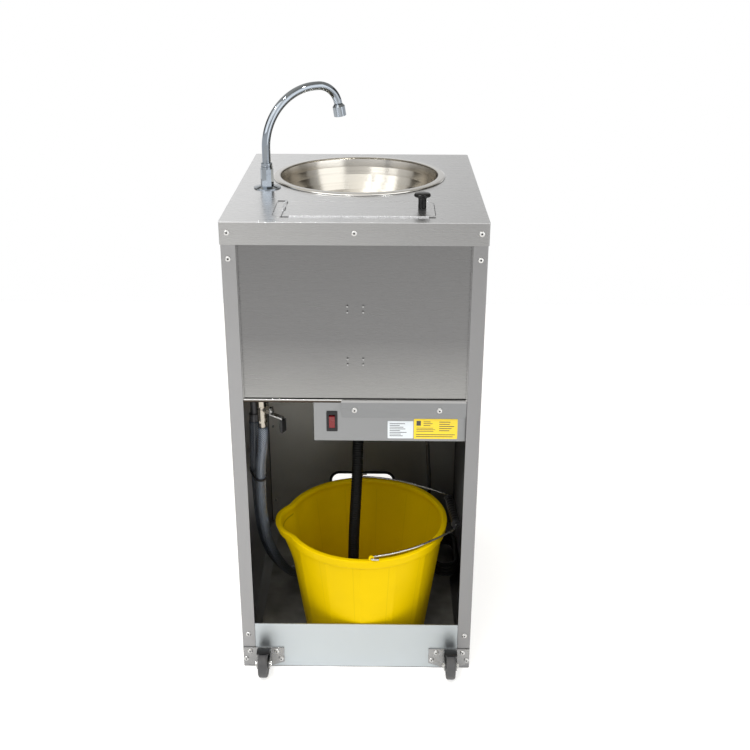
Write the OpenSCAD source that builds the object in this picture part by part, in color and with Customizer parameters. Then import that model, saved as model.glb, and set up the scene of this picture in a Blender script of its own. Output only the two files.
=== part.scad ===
// Portable hand-wash sink: folded-sheet cabinet, round bowl, foot pump, heated tank, waste bucket.
// +X is right seen from the service side, +Y points to the user, +Z is up.
// The origin is on the floor under the centre of the cabinet.

/* [Cabinet] */
// Width of the worktop
cab_w = 430; // [428:1:440]
// Depth of the worktop from the service side to the user side
cab_d = 530; // [528:1:540]
// Height of the worktop above the floor
cab_h = 865; // [860:1:900]
// Thickness of the folded sheet
sheet_t = 1.2; // [1:0.1:1.5]
// Height of the worktop's folded skirt
skirt_h = 37.5; // [34:0.5:40]
// Width of the side panels' front and rear flanges
flange_w = 24; // [22:0.5:25]
// Height of the kick panel that keeps the bucket in
kick_h = 97; // [90:1:98]
// Height of the tank shelf's top face
shelf_z = 557; // [550:1:560]

/* [Bowl] */
// Outside diameter of the bowl's rim
bowl_d = 320; // [310:2:320]
// Depth of the bowl below the worktop
bowl_depth = 140; // [130:2:145]
// Distance of the bowl's centre behind the cabinet's centre
bowl_y = 70; // [66:1:72]

/* [Tap] */
// Radius of the swan neck's large bend
neck_r = 100; // [90:2:110]
// Outside diameter of the spout tube
spout_d = 15; // [13:1:16]
// Direction in which the spout points at rest, from +X towards +Y
spout_turn = 32; // [20:1:40]

/* [Bucket] */
// Outside diameter of the bucket's rim
bucket_d = 314; // [306:2:316]
// Height of the bucket
bucket_h = 248; // [240:1:250]
// Turn of the pouring spout and the bail pivots about the bucket's axis
bucket_turn = 5; // [0:1:8]

/* [Casters] */
// Diameter of a caster wheel
wheel_d = 50; // [46:1:50]
// Width of a caster wheel
wheel_w = 17; // [14:1:17]

/* [Hidden] */
$fn = 48;

// fits
gap = 0.1;             // between sheets that lie on each other
run_gap = 0.05;        // radial, around a pin
joint_r = 0.1;         // by which a brazed joint stands proud of its tube

// cabinet body inside the worktop's skirt
t = sheet_t;
body_w = cab_w - 2 * t - 2 * gap;
body_d = cab_d - 2 * t - 2 * gap;
front_y = -body_d / 2;
rear_y = body_d / 2;
floor_t = 1.5;
body_z = floor_t + gap;
body_top = cab_h - t - gap;
inner_x = body_w / 2 - t;
flange_x = body_w / 2 - flange_w;
fold_r = 2.5;
return_w = 20;
hem_w = 12;

// plate in front of the control box: left, right, foot, top
plate_x = [-24, 189];
plate_z = [524, 556.5];
plate_screw_x = [-1, 143.5];
plate_screw_z = 538;

// screws: head radius, shank radius, hole radius
head_r = 4.85;
head_h = 2.7;
shank_r = 2.4;
hole_r = 2.7;
grip_l = 7;
skirt_z = cab_h - 17.5;
flange_screw_x = body_w / 2 - 11.5;
// [x, z, height of the head above the body's front face]
FRONT_SCREWS = [
    [-flange_screw_x, skirt_z, t + gap], [0, skirt_z, t + gap], [flange_screw_x, skirt_z, t + gap],
    [-flange_screw_x, 804, 0], [flange_screw_x, 804, 0],
    [-flange_screw_x, 73.5, 0], [flange_screw_x, 73.5, 0],
    [plate_screw_x[0], plate_screw_z, gap], [plate_screw_x[1], plate_screw_z, gap],
    [-150, 36, 2 + gap], [-200, 36, 2 + gap], [-142, 19, 2 + gap], [-208, 19, 2 + gap],
    [150, 36, 2 + gap], [200, 36, 2 + gap], [142, 19, 2 + gap], [208, 19, 2 + gap]
];
REAR_SCREW_Z = [60, 250, 440, 630, 800];

// user-side opening for the pedal
open_w = 144;
open_z = [26, 132];
open_r = 20;
rear_sheet_y = rear_y - t - gap;

// recess of the upper front panel, and the bead rolled along the shelf's front edge
recess = 4.5;
bead_r = 3.6;
bead_y = front_y + 1.6 + bead_r;

// control box under the shelf
box_x = [-71, 190];
box_y = [front_y + 9, front_y + 129];
box_z = [476, shelf_z - t - gap];
switch_x = -40;
switch_z = 513;
switch_w = 19;
switch_h = 37;
rocker_tilt = 6;
rocker_h = 24;
stand_r = 6;          // stand-offs that the plate is screwed to

// bowl
rim_w = 13;
rim_h = 3;
bowl_r = bowl_d / 2 - rim_w;
bowl_t = 1;
bowl_floor_z = cab_h - bowl_depth;
waste_r = 24;
bowl_rise = 20;

// tap
tap_x = -161;
tap_y = -31;
tap_h = 38;
neck_z = cab_h + 69;
neck_run = 5;          // straight between the large bend and the tip's bend
tip_r = 42;
tip_turn = 80;

// filler lid and its hinge
lid_x = [-117.4, 130];
lid_y = [-232, -130];
hinge_x = -118;
hinge_z = cab_h + 2.1;
lid_gap = 0.9;
leaf_x = -133;
knuckle_r = 2;
hinge_pin_r = 1.2;
knuckle_y = [-193, -172.6, -152.4, -132];
knob_x = 110;
knob_y = -170.5;

// tank
tank_x = [-145, 180];
tank_y = [-248, 30];
tank_z = [shelf_z + gap, 700];
neck_x = [-104, 118];
neck_y = [-222, -140];
tank_t = 1.2;
heater_x = 60;
heater_y = -185;
thermo_x = 125;

// valve
valve_x = -164;
valve_y = -220;
valve_turn = -25;
stem_z = 519;
stem_l = 22;
lever_w = 10;
lever_x = 40.5;
hose_top_z = 484;

// hoses and cables: outside diameters
braid_d = 18;
waste_d = 21.5;
cable_d = 8;
pipe_d = 12;

// foot pump
pump_x = 0;
pump_y = 165;
pump_z = floor_t + gap;
barrel_r = 32;
barrel_top = 38;
piston_r = 12;
piston_top = 83;
rod_r = 6;
spring_z = [39.6, 60.4];
spring_r = [27, 13];
spring_wire = 2.2;
pivot_y = 112;
pivot_z = 70;
pedal_w = 56;
manifold_y = 138;
spigot_x = [-42, -62];
spigot_z = 24;

// bucket
bucket_x = 15;
bucket_y = -130;
bucket_z = floor_t + 0.5;
bucket_t = 2.5;
bucket_foot_r = 116.5;
bucket_wall_r = 149.5;
band_h = 20;
rim_top = bucket_z + bucket_h;
ear_r = 153.5;
ear_z = rim_top + 5;
wire_r = 2;

// casters
caster_x = [-172, 176];
plate_out = [136, 213];
axle_y = front_y - 30;
axle_z = wheel_d / 2 + 3.4;
axle_r = 3;
fork_gap = wheel_w / 2 + 1.5;
fork_t = 2;
fork_end_r = 9.5;

// routes of the hoses and the mains cable
WASTE_ROUTE = [
    [0, 70, 640], [0, 70, 615], [0, 68, 590], [0, 60, 560], [0, 44, 530], [0, 22, 500],
    [0, -5, 468], [0, -30, 436], [0, -55, 400], [-1, -76, 360], [-2, -92, 320], [-4, -103, 280],
    [-6, -110, 240], [-8, -114, 200], [-9, -116, 160], [-10, -117, 125]
];
SUPPLY_ROUTE = [
    [-164, -220, 484], [-164, -220, 468], [-167, -214, 440], [-172.5, -203, 405], [-175.5, -190, 371],
    [-178.5, -172, 325], [-179.5, -155, 277], [-179, -135, 238], [-178.5, -112, 196], [-175, -85, 155],
    [-170, -62, 120], [-161.5, -38, 84], [-150, -14, 50], [-133, 10, 25], [-109, 32, 13],
    [-86, 50, 12], [-64, 74, 14], [-48, 100, 20], [-42, 120, 24], [-42, 138, 24]
];
DELIVERY_ROUTE = [
    [-182, -194, 484], [-182, -194, 468], [-183.5, -191, 440], [-185.5, -184, 405], [-186.5, -172, 371],
    [-188, -153, 325], [-189, -136, 277], [-190, -116, 238], [-190, -93, 196], [-188, -66, 155],
    [-184, -43, 120], [-177, -18, 84], [-166, 6, 50], [-151, 24, 25], [-128, 44, 13],
    [-104, 62, 12], [-84, 82, 14], [-68, 104, 20], [-62, 122, 24], [-62, 138, 24]
];
tie_ring = 4;
PIPE_ROUTE = [
    [-161, -31, 800], [-161, -31, 740], [-161, -33, 700], [-163, -42, 665], [-168, -75, 640],
    [-174, -120, 630], [-180, -165, 622], [-182, -186, 612], [-182, -194, 594], [-182, -194, 560],
    [-182, -194, 520], [-182, -194, 484]
];
// One arm of the bail, from its ear: x along the bail's reach, y inwards from the ear.
BAIL_ARM = [
    [0, 1, 0], [0, 4, 0], [3, 5, 0], [10, 6, 0], [40, 13, 0], [80, 29, 0], [120, 54, 0], [150, 76, 0],
    [164, 89, 0], [168, 99, 0], [168, 110, 0]
];
CABLE_ROUTE = [
    [128, -150, 452], [128, -150, 440], [128.3, -146, 426], [129, -134, 412], [130, -115, 402],
    [131, -92, 393], [132.5, -66, 382], [134, -40, 373], [135.2, -20, 362], [136, -11.5, 340],
    [137.6, -9, 310], [140.5, -2, 272], [142, 6, 240], [143, 16, 205], [143, 28, 165],
    [143.5, 40, 130], [145, 53, 98], [148, 70, 68], [152, 90, 50], [156, 110, 41], [158.7, 124, 39]
];

// hank of spare mains cable, and the plug behind it
hank_x = 183;
hank_y = [30, 160];
hank_w = 56;
hank_h = 40;
hank_z = body_z + t + gap;
plug_x = 159;
plug_y = 172;
sleeve_z = 12;

function unit(v) = v / norm(v);

// The frame of each ring is carried along the path, so the tube never twists.
function carried(dirs, i, side) = unit(side - (side * dirs[i]) * dirs[i]);
function sides(dirs, i = 0, side = [1, 0, 0]) =
    i == len(dirs) ? [] : let (s = carried(dirs, i, side)) concat([s], sides(dirs, i + 1, s));

module swept_tube(route, d, n = 12) {
    last = len(route) - 1;
    dirs = [for (i = [0 : last]) unit(route[min(i + 1, last)] - route[max(i - 1, 0)])];
    across = sides(dirs);
    points = [for (i = [0 : last], k = [0 : n - 1])
        route[i] + d / 2 * (cos(360 * k / n) * across[i] + sin(360 * k / n) * cross(dirs[i], across[i]))];
    walls = [for (i = [0 : last - 1], k = [0 : n - 1])
        [i * n + k, (i + 1) * n + k, (i + 1) * n + (k + 1) % n, i * n + (k + 1) % n]];
    polyhedron(points, concat(walls, [[for (k = [0 : n - 1]) k],
        [for (k = [n - 1 : -1 : 0]) last * n + k]]));
}

// A rectangle with true round corners.
module round_rect(w, d, r) {
    square([w - 2 * r, d], center = true);
    square([w, d - 2 * r], center = true);
    for (x = [-1, 1], y = [-1, 1])
        translate([x * (w / 2 - r), y * (d / 2 - r)]) circle(r);
}

// An upright sheet facing Y, from its 2D outline in X and Z.
module sheet_xz(y, thick) {
    translate([0, y + thick, 0]) rotate([90, 0, 0]) linear_extrude(thick) children();
}

module block(low, high) {
    translate(low) cube(high - low);
}

module rod(a, b, r) {
    v = b - a;
    translate(a) rotate([0, acos(v.z / norm(v)), atan2(v.y, v.x)]) cylinder(h = norm(v), r = r);
}

module hex(flats, h) {
    cylinder(h = h, d = flats / cos(30), $fn = 6);
}

module front_holes() {
    for (s = FRONT_SCREWS)
        translate([s[0], front_y + 12, s[1]]) rotate([90, 0, 0]) cylinder(h = 20, r = hole_r);
}

module rear_holes() {
    for (x = [-1, 1], z = REAR_SCREW_Z)
        translate([x * flange_screw_x, rear_y + 8, z]) rotate([90, 0, 0]) cylinder(h = 16, r = hole_r);
    for (x = [-1, 0, 1])
        translate([x * flange_screw_x, rear_y + 8, skirt_z]) rotate([90, 0, 0]) cylinder(h = 16, r = hole_r);
}

// ---- cabinet ----

module worktop() {
    color("silver") difference() {
        union() {
            translate([0, 0, cab_h - t]) linear_extrude(t) round_rect(cab_w, cab_d, 3);
            translate([0, 0, cab_h - skirt_h]) linear_extrude(skirt_h) difference() {
                round_rect(cab_w, cab_d, 3);
                round_rect(cab_w - 2 * t, cab_d - 2 * t, 1.8);
            }
        }
        translate([0, bowl_y, cab_h - 5]) cylinder(h = 10, r = bowl_r + 2.5, $fn = 96);
        translate([tap_x, tap_y, cab_h - 5]) cylinder(h = 10, r = 11);
        translate([0, 0, cab_h - 5]) linear_extrude(10) filler_outline(lid_gap);
        front_holes();
        rear_holes();
    }
}

// Outline of the lid and its fixed hinge leaf together, grown by a clearance.
module filler_outline(grow) {
    translate([(leaf_x + lid_x[1]) / 2, (lid_y[0] + lid_y[1]) / 2])
        round_rect(lid_x[1] - leaf_x + 2 * grow, lid_y[1] - lid_y[0] + 2 * grow, 16 + grow);
}

module side_shell() {
    difference() {
        union() {
            translate([0, 0, body_z]) linear_extrude(body_top - body_z) intersection() {
                difference() {
                    round_rect(body_w, body_d, fold_r);
                    round_rect(body_w - 2 * t, body_d - 2 * t, fold_r - t);
                }
                translate([-body_w / 2 - 1, -body_d / 2 - 1]) square([flange_w + 1, body_d + 2]);
            }
            for (z = [body_z, body_top - t])
                block([-inner_x - t / 2, -body_d / 2 + 12, z], [-inner_x + return_w, body_d / 2 - 12, z + t]);
        }
        front_holes();
        rear_holes();
    }
}

module left_side_panel() {
    color("silver") side_shell();
}

module right_side_panel() {
    color("silver") mirror([1, 0, 0]) side_shell();
}

module pedal_opening(grow) {
    translate([0, (open_z[0] + open_z[1]) / 2])
        round_rect(open_w + 2 * grow, open_z[1] - open_z[0] + 2 * grow, open_r + grow);
}

module rear_sheet_outline() {
    x = inner_x - 1.5;
    translate([-x, body_z + t + gap]) square([2 * x, body_top - body_z - 2 * t - 2 * gap]);
}

module rear_panel() {
    color("gainsboro") difference() {
        sheet_xz(rear_sheet_y - t, t) difference() {
            rear_sheet_outline();
            pedal_opening(0);
        }
        rear_holes();
    }
}

module pedal_edge_trim() {
    color("black") difference() {
        sheet_xz(rear_sheet_y - t / 2 - 2.6, 5.2) difference() {
            pedal_opening(4);
            pedal_opening(-2);
        }
        sheet_xz(rear_sheet_y - t - gap, t + 2 * gap) difference() {
            pedal_opening(8);
            pedal_opening(-gap);
        }
    }
}

module floor_panel() {
    color("dimgray") linear_extrude(floor_t) round_rect(body_w, body_d, fold_r);
}

module kick_panel() {
    edge_x = flange_x - 0.6;
    tab_y = front_y + t + gap;
    color("lightsteelblue") difference() {
        union() {
            block([-edge_x, front_y, body_z], [edge_x, front_y + t, kick_h]);
            block([-edge_x, front_y, kick_h - hem_w], [edge_x, front_y + 2 * t, kick_h]);
            for (s = [-1, 1]) {
                block([s * (edge_x - t / 2) - t / 2, front_y, body_z + t + gap],
                    [s * (edge_x - t / 2) + t / 2, tab_y + t, kick_h]);
                block([s > 0 ? edge_x - t : -inner_x + 3, tab_y, body_z + t + gap],
                    [s > 0 ? inner_x - 3 : -edge_x + t, tab_y + t, kick_h - 8]);
            }
        }
        front_holes();
    }
}

module upper_front_panel() {
    edge_x = flange_x - 1.2;
    tab_y = front_y + t + gap;
    z0 = shelf_z + 1.5;
    z1 = cab_h - skirt_h + 8;
    color("silver") difference() {
        union() {
            block([-edge_x, front_y + recess, z0], [edge_x, front_y + recess + t, z1]);
            block([-edge_x, front_y + recess, z0], [edge_x, front_y + recess + 7, z0 + t]);
            for (s = [-1, 1]) {
                block([s * (edge_x - t / 2) - t / 2, tab_y, z0],
                    [s * (edge_x - t / 2) + t / 2, front_y + recess + t, z1]);
                block([s > 0 ? edge_x - t : -inner_x + 3, tab_y, z0],
                    [s > 0 ? inner_x - 3 : -edge_x + t, tab_y + t, z1]);
            }
        }
        front_holes();
    }
}

module tank_shelf() {
    edge_x = flange_x - 0.6;
    color("silver") difference() {
        union() {
            rod([-edge_x, bead_y, shelf_z - bead_r], [edge_x, bead_y, shelf_z - bead_r], bead_r);
            block([-edge_x, bead_y, shelf_z - t], [edge_x, 0, shelf_z]);
            block([-inner_x + 0.4, front_y + t + 0.4, shelf_z - t],
                [inner_x - 0.4, rear_sheet_y - t - 0.4, shelf_z]);
            for (s = [-1, 1])
                block([s * (inner_x - 1) - t / 2, front_y + 8, shelf_z - 16],
                    [s * (inner_x - 1) + t / 2, rear_y - 12, shelf_z]);
        }
        front_holes();
        translate([0, 58, shelf_z - 8]) cylinder(h = 16, r = 20);
        translate([valve_x, valve_y, shelf_z - 8]) cylinder(h = 16, r = 9);
        translate([-182, -194, shelf_z - 8]) cylinder(h = 16, r = 8);
        translate([heater_x, heater_y, shelf_z - 8]) cylinder(h = 16, r = 27);
        translate([thermo_x, heater_y, shelf_z - 8]) cylinder(h = 16, r = 12);
    }
}

module control_box() {
    b = 1.2;
    color("silver") difference() {
        union() {
            block([box_x[0], box_y[0], box_z[0]], [box_x[1], box_y[1], box_z[1]]);
            block([box_x[0], box_y[1] - b, box_z[1] - b], [box_x[1], box_y[1] + 12, box_z[1]]);
            for (x = plate_screw_x) translate([x, box_y[0] + b, plate_screw_z]) rotate([90, 0, 0])
                cylinder(h = box_y[0] + b - front_y - t, r = stand_r);
        }
        front_holes();
        block([box_x[0] + b, box_y[0] + b, box_z[0] + b], [box_x[1] - b, box_y[1] - b, box_z[1] + 1]);
        translate([switch_x, box_y[0] - 1, switch_z]) rotate([-90, 0, 0])
            linear_extrude(4) square([switch_w - 4, switch_h - 4], center = true);
        translate([CABLE_ROUTE[0].x, CABLE_ROUTE[0].y, box_z[0] - 2]) cylinder(h = 5, r = 8.1);
    }
}

module control_plate() {
    x = plate_x;
    z = plate_z;
    color("gainsboro") difference() {
        union() {
            sheet_xz(front_y - 0.1, t) difference() {
                translate([(x[0] + x[1]) / 2, (z[0] + z[1]) / 2]) round_rect(x[1] - x[0], z[1] - z[0], 5);
            }
            block([x[0] + 6, front_y - 0.1, z[0]], [x[1] - 6, box_y[0] - gap, z[0] + t]);
        }
        front_holes();
    }
}

module label(x, z, w, h) {
    sheet_xz(box_y[0] - 0.35, 0.3) translate([x, z]) round_rect(w, h, 1.5);
}

module white_label() {
    color("white") label(77.5, 497.5, 44, 33);
}

module yellow_label() {
    color("yellow") label(138, 499.5, 75, 38);
}

module switch_bezel() {
    color([0.1, 0.1, 0.1]) translate([switch_x, box_y[0], switch_z]) rotate([90, 0, 0]) difference() {
        union() {
            linear_extrude(2.2) round_rect(switch_w, switch_h, 1.5);
            translate([0, 0, -18]) linear_extrude(19) square([switch_w - 5, switch_h - 5], center = true);
        }
        translate([0, 0, -12]) linear_extrude(20) square([switch_w - 8, rocker_h + 1], center = true);
        translate([0, 0, -4]) rotate([0, 90, 0]) cylinder(h = switch_w - 6, r = 1.6, center = true);
    }
}

module switch_rocker() {
    w = switch_w - 9;
    h = rocker_h;
    color("red") translate([switch_x, box_y[0], switch_z]) rotate([90, 0, 0]) translate([0, 0, -4]) {
        rotate([0, 90, 0]) cylinder(h = switch_w - 7, r = 1.5, center = true);
        rotate([rocker_tilt, 0, 0]) rotate([0, 90, 0]) linear_extrude(w, center = true)
            polygon([[3, h / 2 - 1.6], [-7.6, h / 2 - 1], [-6.2, 0], [-7.6, 1 - h / 2], [3, 1.6 - h / 2]]);
    }
}

module immersion_heater() {
    color("gray") translate([heater_x, heater_y, 0]) {
        translate([0, 0, shelf_z - 10]) difference() {
            cylinder(h = 10, r = 24);
            for (a = [45 : 90 : 315])
                rotate(a) translate([18, 0, -1]) cylinder(h = 12, r = 2.5);
        }
        translate([0, 0, shelf_z - 1]) cylinder(h = 14, r = 20);
        for (y = [-10, 10]) translate([0, y, shelf_z]) {
            cylinder(h = 40, r = 4);
            translate([0, 0, -26]) cylinder(h = 20, r = 3);
            translate([0, 0, 40]) sphere(4);
            translate([0, 0, 40]) rotate([0, 90, 0]) cylinder(h = 90, r = 4);
            translate([90, 0, 40]) sphere(4);
        }
        translate([90, -10, shelf_z + 40]) rotate([-90, 0, 0]) cylinder(h = 20, r = 4);
    }
}

module thermostat() {
    color("ivory") translate([thermo_x, heater_y, 0]) {
        translate([0, 0, shelf_z - 34]) cylinder(h = 26, r = 15);
        translate([0, 0, shelf_z - 9]) cylinder(h = 18, r = 9);
        translate([0, -18, shelf_z - 32]) cylinder(h = 14, r = 1);
        translate([0, 18, shelf_z - 32]) cylinder(h = 14, r = 1);
        block([-22, -20, shelf_z - 20], [22, 20, shelf_z - 18]);
    }
}

module cable_gland() {
    color([0.08, 0.08, 0.08]) translate([CABLE_ROUTE[0].x, CABLE_ROUTE[0].y, 0]) difference() {
        union() {
            translate([0, 0, box_z[0] - 6.1]) hex(20, 6);
            translate([0, 0, box_z[0] - 1]) cylinder(h = 9, r = 8);
            translate([0, 0, box_z[0] + t + 0.2]) hex(22, 4);
            translate([0, 0, box_z[0] - 28]) cylinder(h = 23, r1 = 5.6, r2 = 9);
        }
        translate([0, 0, box_z[0] - 29]) cylinder(h = 48, r = cable_d / 2 + 0.3);
    }
}

module mains_cable() {
    color([0.06, 0.06, 0.06]) swept_tube(concat([CABLE_ROUTE[0] + [0, 0, 30]], CABLE_ROUTE), cable_d);
}

module cable_hank() {
    r = hank_w / 2;
    color([0.06, 0.06, 0.06]) {
        translate([0, 0, hank_z]) linear_extrude(hank_h) {
            translate([hank_x - r, hank_y[0] + r]) square([hank_w, hank_y[1] - hank_y[0] - hank_w]);
            translate([hank_x, hank_y[0] + r]) circle(r);
            translate([hank_x, hank_y[1] - r]) circle(r);
        }
        rod([plug_x + 1, hank_y[1] - r, sleeve_z], [plug_x, plug_y, sleeve_z], cable_d / 2);
    }
}

module mains_plug() {
    z = floor_t + 0.5;
    color([0.05, 0.05, 0.05]) {
        translate([plug_x, plug_y, sleeve_z]) rotate([-90, 0, 0]) cylinder(h = 24, r1 = 5, r2 = 7);
        difference() {
            translate([plug_x, plug_y + 42, z]) linear_extrude(28) round_rect(48, 44, 8);
            translate([plug_x, plug_y + 42, z + 24]) linear_extrude(10) round_rect(36, 32, 5);
        }
        for (p = [[0, 10, 4], [-11, -8, 3.2], [11, -8, 3.2]])
            block([plug_x + p[0] - p[2], plug_y + 42 + p[1] - 1.6, z + 20],
                [plug_x + p[0] + p[2], plug_y + 42 + p[1] + 1.6, z + 42]);
    }
}

// ---- bowl and waste ----

// Side profile of the bowl's wetted face, from the rim to the waste hole, offset outwards by o.
// The wall is part of an ellipse whose centre lies above the rim.
function bowl_face(o) = concat(
    [[bowl_r - 0.5 + o, cab_h + rim_h - 1]],
    [for (i = [0 : 13]) let (a = 7 + 67.5 * i / 13)
        [(bowl_r + 1 + o) * cos(a), cab_h + bowl_rise - (bowl_depth + bowl_rise + 3 + o) * sin(a)]],
    [[waste_r + 12, bowl_floor_z + 1 - o]],
    [[waste_r + 9, bowl_floor_z - o]],
    [[waste_r - 2, bowl_floor_z - o]]);

module basin() {
    inner = bowl_face(0);
    outer = bowl_face(bowl_t);
    flange = [
        [bowl_r - 0.5, cab_h + rim_h - 0.2], [bowl_r + 2, cab_h + rim_h + 0.4],
        [bowl_d / 2 - 3, cab_h + rim_h], [bowl_d / 2 - 0.6, cab_h + 2], [bowl_d / 2, cab_h + 0.6],
        [bowl_d / 2 - 1.2, cab_h + 0.6], [bowl_d / 2 - 3.6, cab_h + rim_h - 1.2],
        [bowl_r + 2.2, cab_h + rim_h - 0.8]];
    color("whitesmoke") translate([0, bowl_y, 0]) rotate_extrude($fn = 120)
        polygon(concat(flange, outer, [for (i = [len(inner) - 1 : -1 : 0]) inner[i]]));
}

module basin_gasket() {
    color("dimgray") translate([0, bowl_y, cab_h]) rotate_extrude($fn = 96)
        translate([bowl_r + 4, 0.05]) square([5, 1.6]);
}

module waste_strainer() {
    z = bowl_floor_z;
    color("silver") translate([0, bowl_y, 0]) difference() {
        union() {
            translate([0, 0, z + 0.05]) cylinder(h = 2, r1 = waste_r + 8, r2 = waste_r + 6);
            translate([0, 0, z - 48]) cylinder(h = 49, r = waste_r - 2.4);
        }
        translate([0, 0, z - 49]) cylinder(h = 48.5, r = waste_r - 5);
        translate([0, 0, z - 1]) cylinder(h = 5, r = 3);
        for (a = [0 : 45 : 315])
            rotate(a) translate([11.5, 0, z - 1]) cylinder(h = 5, r = 3);
    }
}

module waste_tailpiece() {
    z = bowl_floor_z;
    color([0.15, 0.15, 0.15]) translate([0, bowl_y, 0]) difference() {
        union() {
            translate([0, 0, z - bowl_t - 14]) hex(62, 12);
            translate([0, 0, z - bowl_t - 2.2]) cylinder(h = 2, r = waste_r + 8);
            translate([0, 0, z - 60]) cylinder(h = 50, r = waste_r + 2);
            translate([0, 0, 655]) cylinder(h = 12, r1 = 14, r2 = waste_r + 2);
            translate([0, 0, 640]) cylinder(h = 16, r = 14);
        }
        translate([0, 0, z - 50]) cylinder(h = 60, r = waste_r - 2.3);
        translate([0, 0, 640]) translate([0, 0, -1]) cylinder(h = 40, r = 8);
    }
}

module waste_hose() {
    color([0.07, 0.07, 0.07]) swept_tube(WASTE_ROUTE, waste_d, 12);
}

module waste_hose_clip() {
    color("silver") translate([0, bowl_y, 624]) {
        difference() {
            cylinder(h = 9, r = waste_d / 2 + 1.4);
            translate([0, 0, -1]) cylinder(h = 11, r = waste_d / 2 + 0.3);
        }
        translate([0, waste_d / 2 + 0.9, 0]) block([-6, 0, 0], [6, 7, 9]);
    }
}

// ---- tap ----

module tap_base() {
    color("gainsboro") translate([tap_x, tap_y, 0]) difference() {
        union() {
            translate([0, 0, cab_h + 0.1]) cylinder(h = 1.4, r = 24);
            translate([0, 0, cab_h + 1.4]) cylinder(h = 2.6, r1 = 23.5, r2 = 14);
            translate([0, 0, cab_h + 3]) cylinder(h = tap_h - 3 - 4, r = 11.5, $fn = 8);
            translate([0, 0, cab_h + tap_h - 5]) cylinder(h = 5, r = 10.4);
            translate([0, 0, cab_h - 38]) cylinder(h = 40, r = 10);
        }
        translate([0, 0, cab_h + 12]) cylinder(h = 60, r = spout_d / 2 + run_gap);
        translate([0, 0, cab_h - 40]) cylinder(h = 60, r = 4.5);
    }
}

module tap_backnut() {
    color("gainsboro") translate([tap_x, tap_y, cab_h - t - 8]) difference() {
        union() {
            hex(30, 6);
            translate([0, 0, 6]) cylinder(h = 1.9, r = 18);
        }
        translate([0, 0, -1]) cylinder(h = 10, r = 10.1);
    }
}

module tap_feed_pipe() {
    top = cab_h - 38.1;
    foot = PIPE_ROUTE[len(PIPE_ROUTE) - 1];
    color("silver") {
        swept_tube(concat([[tap_x, tap_y, top]], PIPE_ROUTE), pipe_d);
        translate([tap_x, tap_y, top - 16]) hex(19, 16);
        translate(foot) cylinder(h = 14, r = 8.4);
    }
}

module bend(r, turn, tube_r) {
    translate([r, 0, 0]) rotate([90, 0, 0]) rotate([0, 0, 180 - turn])
        rotate_extrude(angle = turn, $fn = 96) translate([r, 0]) circle(tube_r, $fn = 32);
}

module tap_spout() {
    r = spout_d / 2;
    color("gainsboro") translate([tap_x, tap_y, 0]) rotate(spout_turn) {
        translate([0, 0, cab_h + 13]) cylinder(h = neck_z - cab_h - 13, r = r);
        translate([0, 0, neck_z - 1]) cylinder(h = 1.5, r = r + joint_r);
        translate([0, 0, neck_z]) bend(neck_r, 90, r);
        translate([neck_r - 0.5, 0, neck_z + neck_r]) rotate([0, 90, 0])
            cylinder(h = neck_run + 1, r = r + joint_r);
        translate([neck_r + neck_run, 0, neck_z + neck_r]) rotate([0, 90, 0]) bend(tip_r, tip_turn, r);
        translate([0, 0, cab_h + tap_h + 0.4]) cylinder(h = 6, r = 10);
    }
}

module tap_aerator() {
    a = 90 - tip_turn;
    color("gainsboro") translate([tap_x, tap_y, 0]) rotate(spout_turn)
        translate([neck_r + neck_run + tip_r * cos(a), 0, neck_z + neck_r - tip_r + tip_r * sin(a)])
            rotate([0, 180 - a, 0]) difference() {
                union() {
                    translate([0, 0, 0.05]) cylinder(h = 4, r1 = 8, r2 = 11);
                    translate([0, 0, 4]) cylinder(h = 17, r = 11.2);
                }
                translate([0, 0, 16]) cylinder(h = 10, r = 9);
            }
}

// ---- filler lid ----

module filler_lid() {
    color("silver") difference() {
        union() {
            translate([0, 0, cab_h - t]) linear_extrude(t) difference() {
                intersection() {
                    filler_outline(0);
                    translate([lid_x[0], lid_y[0]]) square([300, lid_y[1] - lid_y[0]]);
                }
                for (i = [0, 2]) translate([lid_x[0] - 1, knuckle_y[i] - 0.5])
                    square([3.2, knuckle_y[i + 1] - knuckle_y[i] + 1]);
            }
            translate([hinge_x, knuckle_y[1] + 0.3, hinge_z]) rotate([-90, 0, 0])
                cylinder(h = knuckle_y[2] - knuckle_y[1] - 0.6, r = knuckle_r);
            block([hinge_x, knuckle_y[1] + 0.3, cab_h - t], [hinge_x + 2.5, knuckle_y[2] - 0.3, cab_h + 1.2]);
        }
        translate([hinge_x, -260, hinge_z]) rotate([-90, 0, 0]) cylinder(h = 200, r = hinge_pin_r + run_gap);
        translate([knob_x, knob_y, cab_h - 5]) cylinder(h = 10, r = 2.7);
    }
}

module lid_hinge_leaf() {
    color("silver") difference() {
        union() {
            translate([0, 0, cab_h - t]) linear_extrude(t) intersection() {
                filler_outline(0);
                translate([-140, lid_y[0] - 1]) square([140 + hinge_x - 0.6, lid_y[1] - lid_y[0] + 2]);
            }
            block([leaf_x + 2, lid_y[0] + 14, body_top - 1 + gap / 2],
                [hinge_x - 4, lid_y[1] - 14, cab_h - t + 0.2]);
            for (i = [0, 2]) {
                translate([hinge_x, knuckle_y[i], hinge_z]) rotate([-90, 0, 0])
                    cylinder(h = knuckle_y[i + 1] - knuckle_y[i], r = knuckle_r);
                block([hinge_x - 2.5, knuckle_y[i], cab_h - t], [hinge_x, knuckle_y[i + 1], cab_h + 1.2]);
            }
        }
        translate([hinge_x, -260, hinge_z]) rotate([-90, 0, 0]) cylinder(h = 200, r = hinge_pin_r);
    }
}

module lid_hinge_pin() {
    color("gray") translate([hinge_x, knuckle_y[0], hinge_z]) rotate([-90, 0, 0])
        cylinder(h = knuckle_y[3] - knuckle_y[0], r = hinge_pin_r);
}

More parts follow.
